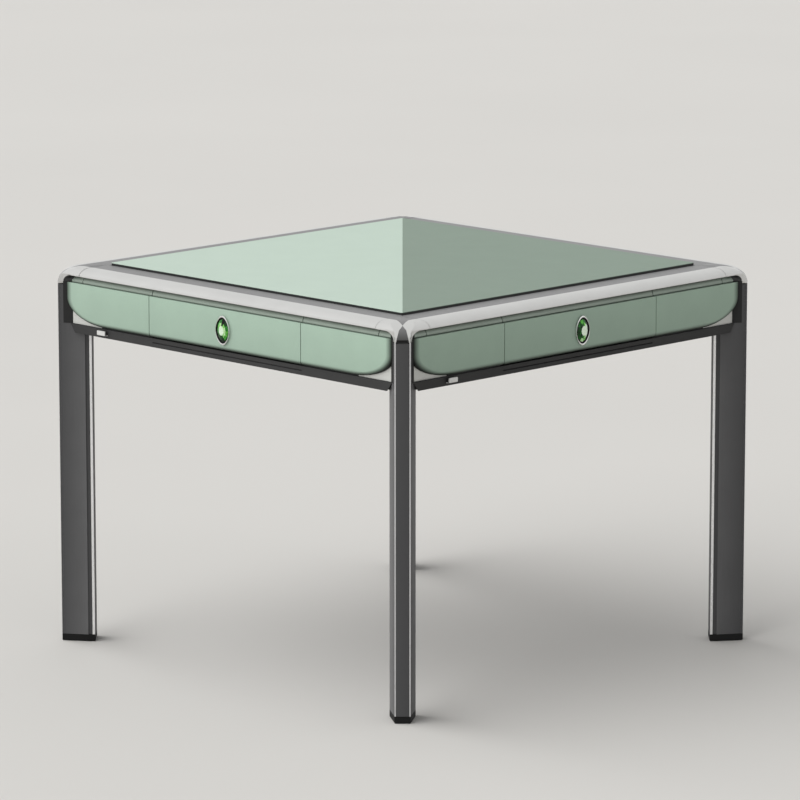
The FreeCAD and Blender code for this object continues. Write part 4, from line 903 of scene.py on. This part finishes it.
# %% [markdown]
# A cut stone never shows one colour, so each facet is painted with its own reflection,
# from near black through green to a pale painted glint at the table.
# So each facet carries a number for its painted reflection, and the colour is read from that.
# %% Crystal with painted reflections
CRYSTAL_TONES = [(0.06, "040a04"), (0.25, "16421b"), (0.45, "2f8a32"), (0.62, "6fc04e"), (0.78, "b9e5a6"),
                 (0.95, "eafbe8")]
CLOUD_MM = 4
crystal, tree = new_tree("crystal_painted_glints")
facet = add_node(tree, "ShaderNodeAttribute", attribute_name="cut")
place = add_node(tree, "ShaderNodeTexCoord")
clouds = add_node(tree, "ShaderNodeTexNoise",
                  {"Vector": place.outputs["Object"], "Scale": grain_scale(CLOUD_MM)})
speck = add_node(tree, "ShaderNodeMath", {0: clouds.outputs["Fac"], 1: 0.5}, operation="SUBTRACT")
speck = add_node(tree, "ShaderNodeMath", {0: speck.outputs[0], 1: 0.5}, operation="MULTIPLY")
flash = add_node(tree, "ShaderNodeMath", {0: facet.outputs["Fac"], 1: speck.outputs[0]}, operation="ADD")
ramp = add_node(tree, "ShaderNodeValToRGB", {"Fac": flash.outputs[0]})
stops = ramp.color_ramp.elements
stops[0].position, stops[0].color = CRYSTAL_TONES[0][0], linear(CRYSTAL_TONES[0][1])
stops[1].position, stops[1].color = CRYSTAL_TONES[-1][0], linear(CRYSTAL_TONES[-1][1])
for at, colour in CRYSTAL_TONES[1:-1]:
    stops.new(at).color = linear(colour)
stone = add_node(tree, "ShaderNodeBsdfPrincipled",
                 {"Base Color": ramp.outputs["Color"], "Roughness": 0.12, "Metallic": 0.5,
                  "Specular IOR Level": 0.25, "Coat Weight": 0.15, "Coat Roughness": 0.03})
add_node(tree, "ShaderNodeOutputMaterial", {"Surface": stone.outputs[0]})
print("crystal tones:", len(stops))

# %% [markdown]
# The stone is built from rings of twelve sides, bridged one to the next. Each face of the crown
# is poked, which splits it into small facets that rise to a point. The numbers for the painted glints
# go round the stone from the right. Stones on neighbouring sides carry different painted glints,
# one set for the side the lamp lights and one for the side in shade.
# %% Cut crystals
GEM_RINGS = [(22.0, 1.4), (22.0, 2.6), (15.5, 5.4), (9.5, 6.6)]
GEM_SIDES = 12
FACET_RISE = 0.25 * MM
TABLE_FLASH = {1: 0.90, 0: 1.05}
OUTER_FLASH = {1: [0.40, 0.22, 0.02, 0.36, 0.44, 0.38, 0.30, 0.22, 0.14, 0.18, 0.46, 0.60],
               0: [0.05, 0.08, 0.34, 0.52, 0.26, 0.20, 0.22, 0.30, 0.80, 0.56, 0.06, 0.05]}
INNER_FLASH = {1: [0.80, 0.62, 0.04, 0.74, 0.66, 0.48, 0.40, 0.34, 0.24, 0.30, 0.70, 0.78],
               0: [1.00, 1.00, 0.60, 0.30, 0.16, 0.24, 0.30, 0.18, 0.34, 0.70, 1.00, 1.00]}


def cut_stone():
    """Rings of a dozen sides, bridged, with a flat table on top and facets round it."""
    shape = bmesh.new()
    rings = []
    for radius, height in GEM_RINGS:
        made = bmesh.ops.create_circle(shape, segments=GEM_SIDES, radius=radius * MM, cap_ends=False)
        bmesh.ops.translate(shape, verts=made["verts"], vec=(0, 0, height * MM))
        rings.append({edge for vertex in made["verts"] for edge in vertex.link_edges})
    for low, high in zip(rings, rings[1:]):
        crown = bmesh.ops.bridge_loops(shape, edges=[*low, *high])["faces"]
        if low is not rings[0]:
            bmesh.ops.poke(shape, faces=crown, offset=FACET_RISE)
    bmesh.ops.contextual_create(shape, geom=list(rings[-1]))
    bmesh.ops.contextual_create(shape, geom=list(rings[0]))
    return shape


def flash_of(face, kind):
    """The painted reflection of a facet, for one of the two kinds of stone."""
    if len(face.verts) > 4:
        return TABLE_FLASH[kind]
    at = face.calc_center_median() / MM
    share = (math.atan2(at.y, at.x) % math.tau) / math.tau
    flashes = OUTER_FLASH if math.hypot(at.x, at.y) > GEM_RINGS[2][0] else INNER_FLASH
    return flashes[kind][int(share * GEM_SIDES)]


for number, side in enumerate((1, 2, 3, 4)):
    shape = cut_stone()
    tone = shape.faces.layers.float.new("cut")
    for face in shape.faces:
        face[tone] = flash_of(face, side % 2)
    to_knob(shape, number)
    piece(f"cut_crystal_{side}", shape, [crystal], f"drawer_{side}",
          [f"knob_gem_{side}"], crease=1.0)

# %% [markdown]
# ## Drawer fronts
# A drawer front is a thick lacquered board between the fixed fronts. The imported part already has
# the round along its foot, which turns away from the light. Its other edges are only broken.
# %% Drawer fronts
for node in side_names("drawer_front"):
    shape = closed_copy(node)
    soften(shape, 0.4)
    made = piece("lacquered_" + node, shape, [front_paint], body_of[node], [node],
                 crease=30.0)
    print(made.name, "has", len(made.data.polygons), "faces and rides on", body_of[node])
